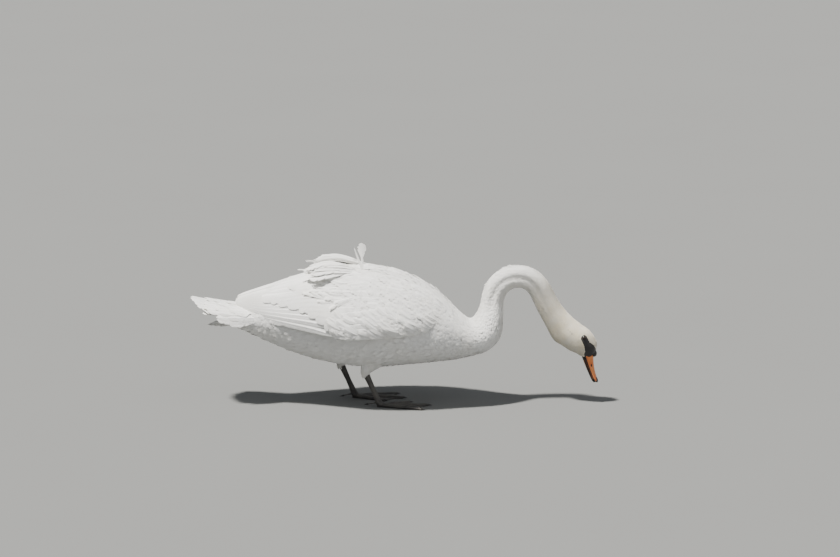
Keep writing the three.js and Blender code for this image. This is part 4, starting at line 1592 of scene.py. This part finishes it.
def mandible(name, way, material):
    """A dome on a nearly flat base: the upper one stands up, the lower one hangs down."""
    upper = way > 0
    width, drop, edge_black, root_black = UPPER_HALF if upper else LOWER_HALF
    share, angle = grid(np.linspace(BILL_FROM, 1, BILL_ROWS), ring(BILL_ROUND))
    inside = np.maximum(0, share)
    tip = np.sqrt(np.maximum(0.06, 1 - (np.maximum(0, inside - 0.9) / 0.11) ** 2))
    dome = tip * (culmen(inside) if upper else 8 - 4.5 * inside)
    rise, side = rounded(angle, BILL_SQUARENESS)
    up = rise * np.where(rise > 0, dome, FLAT_SIDE)
    along = share * BILL_LENGTH
    left = side * bill_half_width(inside) * width
    black = np.maximum(edge_black - np.abs(up), root_black - along)

    def from_nostril(long, high):
        return np.hypot((share - NOSTRIL[0]) * BILL_LENGTH / long, (rise - NOSTRIL[1]) * NOSTRIL_RISE / high)

    if upper:
        # A soft ridge runs along the culmen, and a hollow on each side holds the nostril.
        left = left * (1 - 0.1 * np.sin(math.pi * inside) * np.clip(rise, 0, 1) ** 2)
        left = left * (1 - 0.22 * np.exp(-(from_nostril(*NOSTRIL_BED) ** 2)))
        slit = from_nostril(*NOSTRIL_SLIT)
        left = left * (1 - 0.16 * np.exp(-(slit**4)))
        black = np.maximum(black, 1.6 * (1.15 - slit))
        black = np.maximum(black, KNOB_BLACK - np.hypot(along - 1, (up - 14) * 0.8))
    grain = 0.12 * np.sin(along * 2.1) * np.clip(rise, 0, 1) * (inside > 0.08)
    points = from_bill(along, left, gape(inside) - drop + way * (up + grain))
    return loft(name, points, material, values={"black": black})


# The knob and the nail: middle, radii and knobbliness, in the bill's distances.
KNOB = ((3, 0, 15.2), (11.5, 8.8, 8.8), 0.35)
NAIL = ((BILL_LENGTH - 5.5, 0, -3.6), (8.6, 6.4, 4.2), 0.05)


def bill():
    paint = bill_paint()
    finish_piece(mandible("upper_bill", 1, paint), "bill", "bill_upper")
    finish_piece(mandible("lower_bill", -1, paint), "bill", "bill_lower")
    lamellae(paint)
    finish_piece(bulb("bill_knob_skin", *KNOB), "horn", "bill_knob")
    finish_piece(bulb("bill_nail_horn", *NAIL), "horn", "bill_nail")


def ball(start, end, rows, columns):
    """Angles from a ball's pole and round it, for rows that stop short of both poles."""
    return grid(np.linspace(start, end, rows), ring(columns))


def bulb(name, middle, radii, knobble):
    """A rounded lump in the bill's distances, with a slightly uneven surface."""
    polar, turn = ball(0.03, math.pi - 0.03, 40, 64)
    uneven = 1 + 0.03 * knobble * (np.sin(5 * turn) * np.sin(3 * polar) + np.sin(9 * polar + 2 * turn))
    ways = (np.cos(polar), np.sin(polar) * np.cos(turn), np.sin(polar) * np.sin(turn))
    places = [m + r * w * uneven for m, r, w in zip(middle, radii, ways)]
    return loft(name, from_bill(*places), HORN)


COMB = np.arange(0.12, 0.86, 0.017)  # places of the plates, as shares of the bill
COMB_INSET, COMB_DROP = 3.4, 0.9  # inward from the edge, and below the gape
COMB_PLATE = [2.7, 0.28, 1.1]  # length, and half of the thickness and of the height


def lamellae(material):
    """The comb of fine plates inside the upper bill's cutting edge."""
    plate = np.array([(x, y, z) for x in (0, 1) for y in (-1, 1) for z in (-1, 1)], float)
    faces = np.array([(0, 1, 3, 2), (4, 6, 7, 5), (0, 4, 5, 1), (2, 3, 7, 6), (0, 2, 6, 4), (1, 5, 7, 3)])
    points, ways = [], []
    up = bill_way(0, 0, 1)
    for side in SIDES.values():
        out = bill_way(0, side, 0)
        left = side * (bill_half_width(COMB) - COMB_INSET)
        points.append(from_bill(COMB * BILL_LENGTH, left, gape(COMB) - COMB_DROP))
        ways.append([np.tile(way, (len(COMB), 1)) for way in (out, np.cross(up, out), up)])
    points = np.concatenate(points)
    frames = [np.concatenate(way) for way in zip(*ways)]
    extents = np.tile(COMB_PLATE, (len(points), 1))
    roots = np.full(points.shape, 0.5)
    piece = scattered("bill_lamellae", points, frames, extents, roots, (plate, faces), material)
    finish_piece(piece, "bill")


# ---------------------------------------------------------------- eyes
CORNEA_RISE, CORNEA_WIDTH = 0.035, 0.5  # a share of the radius, and an angle from the gaze
BALL_SHRINK, BALL_SUNK = 0.25, 0.9  # what the eyeball is smaller and deeper than the CAD's
GAZE_FORWARD = 0.22
LID_OUT, LID_HEIGHT, LID_THICK = 5.15, 2.05, 0.95  # the rim's distance from the gaze, height and radius
LID_BARE = 5.0  # well inside the bare skin


def eyes():
    material = eye_paint()
    for name in SIDES:
        middle = placed(EYE_CENTRE[name])
        gaze = gaze_way(name)
        front = unit(np.cross(np.cross(gaze, bill_way(1, 0, 0)), gaze))
        up = np.cross(gaze, front)
        polar, turn = ball(0.02, 3.1, 48, 64)
        radius = (EYE_RADIUS - BALL_SHRINK) * (1 + CORNEA_RISE * np.exp(-((polar / CORNEA_WIDTH) ** 2)))
        way = turned(polar[..., None], gaze, turned(turn[..., None], front, up))
        points = middle - BALL_SUNK * gaze + radius[..., None] * way
        values = {"gaze": np.degrees(polar), "round": np.abs(turn / math.pi - 1)}
        finish_piece(loft(f"eyeball_{name}", points, material, values=values), "eye", f"eye_{name}")
        finish_piece(eyelid(name, middle, gaze, front, up), "head_plumage")


def gaze_way(name):
    """An eye looks out from the head, and a little forward with the surface round it."""
    side = unit(EYE_CENTRE[name] - rolled(EYE_PLACE * [1, 0, 1]))
    return unit(side + GAZE_FORWARD * (bill_way(1, 0, 0) + np.array([0.5, 0, 0.8])))


def eyelid(name, middle, gaze, front, up):
    """A thin bare rim round the eye, drawn out into a corner at the front and the back."""
    turn, around = grid(ring(96), ring(16))
    corner = np.abs(np.cos(turn)) ** 6
    reach = LID_OUT + 0.95 * corner
    height = LID_HEIGHT - 0.75 * corner - 0.25 * np.abs(np.sin(turn))
    thick = LID_THICK + 0.2 * np.clip(np.sin(turn), 0, 1)
    out = reach + thick * np.cos(around)
    lift = height + thick * np.sin(around)
    points = middle + out[..., None] * turned(turn[..., None], front, 0.94 * up) + lift[..., None] * gaze
    faces = quads(*turn.shape, closed=True)
    values = {"bare": np.full(turn.size, LID_BARE)}
    sizes = np.full(turn.size, 4)
    lid = new_piece(f"eyelid_{name}", points.reshape(-1, 3), faces.ravel(), sizes, SKIN, values=values)
    turn_outward(lid)
    return lid


# ---------------------------------------------------------------- legs
TOES = {"inner": (-27, 98), "middle": (0, 132), "outer": (27, 122)}
TOE_IN = 6
TOE_HALF = 5.5  # half width of the plated stretch of a toe
SCUTE, SCUTE_RISE = 4.6, 0.55  # length and height of one plate on the toes
LEG_VOXEL, LEG_SWELL = 1.3 * MM, 0.6 * MM
DOUBLES = 0.01 * MM  # corners closer than this are one


def leg_pieces():
    """Feet and shanks: the CAD nodes' own shapes, rounded off and plated along the toes."""
    for name, side in SIDES.items():
        for part in ("foot", "shank"):
            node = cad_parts[f"{part}_{name}"]
            piece = linked(f"{part}_skin_{name}", node.data.copy())
            with opened(piece.data) as shape:
                bmesh.ops.remove_doubles(shape, verts=shape.verts, dist=DOUBLES)
            modify(piece, "REMESH", mode="VOXEL", voxel_size=LEG_VOXEL)
            make_plain(piece)
            modify(piece, "SMOOTH", factor=0.5, iterations=3)
            modify(piece, "DISPLACE", strength=LEG_SWELL, mid_level=0.0)
            make_plain(piece)
            for vertex in piece.data.vertices:
                vertex.co.z = max(vertex.co.z, 0)
            piece.data.polygons.foreach_set("use_smooth", np.ones(len(piece.data.polygons), bool))
            if part == "foot":
                plate_toes(piece, name, side)
            piece.data.materials.clear()
            piece.data.materials.append(LEG)
            finish_piece(piece, "leg_skin", f"{part}_{name}")
    for name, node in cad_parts.items():
        if name.startswith("claw_"):
            for slot in node.material_slots:
                slot.material = HORN


def plate_toes(piece, name, side):
    """Raises overlapping plates over the toes."""
    points = np.empty(len(piece.data.vertices) * 3, np.float32)
    piece.data.vertices.foreach_get("co", points)
    points = points.reshape(-1, 3) / MM
    root = placed(np.array([LEG_X[name], side * LEG_SPREAD, 0]))
    raised = np.zeros(len(points))
    for angle, length in TOES.values():
        heading = math.radians(side * (angle - TOE_IN))
        arm = points - root
        along = turned(heading, arm[:, 0], arm[:, 1])
        across = turned(heading, arm[:, 1], -arm[:, 0])
        on_toe = smooth(0, 8, along) * (1 - smooth(length - 6, length, along))
        on_toe = on_toe * np.exp(-((across / TOE_HALF) ** 4))
        phase = along / SCUTE % 1
        raised = np.maximum(raised, on_toe * SCUTE_RISE * np.sqrt(phase) * smooth(1, 0.85, phase))
    points[:, 2] += raised * smooth(1.5, 4, points[:, 2])
    piece.data.vertices.foreach_set("co", (points * MM).astype(np.float32).ravel())
    piece.data.update()


# ---------------------------------------------------------------- stage
CAMERA_AIM = Vector((0.071, 0, 0.341))
CAMERA_RISE = math.radians(10)
CAMERA_DISTANCE = 12.0
FRAME_WIDTH = 2.268  # metres across the picture at the bird
SENSOR = 36
FLOOR_SIZE = 120
SKY_COLOUR, SKY_STRENGTH = (0.86, 0.9, 0.95, 1), 0.42
# Lights: the way they come from, strength, spread in degrees, and colour.
KEY = ((-0.36, -0.26, 1.0), 11.0, 5, (1.0, 0.97, 0.92))
FILL = ((0.9, -0.8, 0.7), 0.8, 60, (1, 1, 1))


def camera():
    data = bpy.data.cameras.new("camera")
    data.sensor_width = SENSOR
    data.lens = SENSOR * CAMERA_DISTANCE / FRAME_WIDTH
    data.clip_end = 200
    seen_from = linked("camera", data)
    ahead = Vector((0, math.cos(CAMERA_RISE), -math.sin(CAMERA_RISE)))
    seen_from.location = CAMERA_AIM - CAMERA_DISTANCE * ahead
    seen_from.rotation_euler = ahead.to_track_quat("-Z", "Y").to_euler()
    bpy.context.scene.camera = seen_from


def soft_sun(name, from_way, power, spread_angle, colour):
    """A light that reaches the whole floor evenly, as a large far softbox does."""
    data = bpy.data.lights.new(name, "SUN")
    data.energy = power
    data.angle = math.radians(spread_angle)
    data.color = colour
    linked(name, data).rotation_euler = (-Vector(from_way)).to_track_quat("-Z", "Y").to_euler()


def stage():
    bpy.ops.mesh.primitive_plane_add(size=FLOOR_SIZE)
    floor = bpy.context.object
    floor.name = "floor"
    floor.data.materials.append(floor_paint())
    world = bpy.data.worlds.new("studio")
    bpy.context.scene.world = world
    world.use_nodes = True
    background = world.node_tree.nodes["Background"]
    background.inputs["Color"].default_value = SKY_COLOUR
    background.inputs["Strength"].default_value = SKY_STRENGTH
    soft_sun("key", *KEY)
    soft_sun("fill", *FILL)


camera()
stage()
skin()
body_coat()
thigh_coat()
head_coat("feathers_head", 0.815, 0.9, 22)
head_coat("feathers_face", 0.9, 0.996, 23)
wing_coats()
tail_coat()
loose_plume()
bill()
eyes()
leg_pieces()
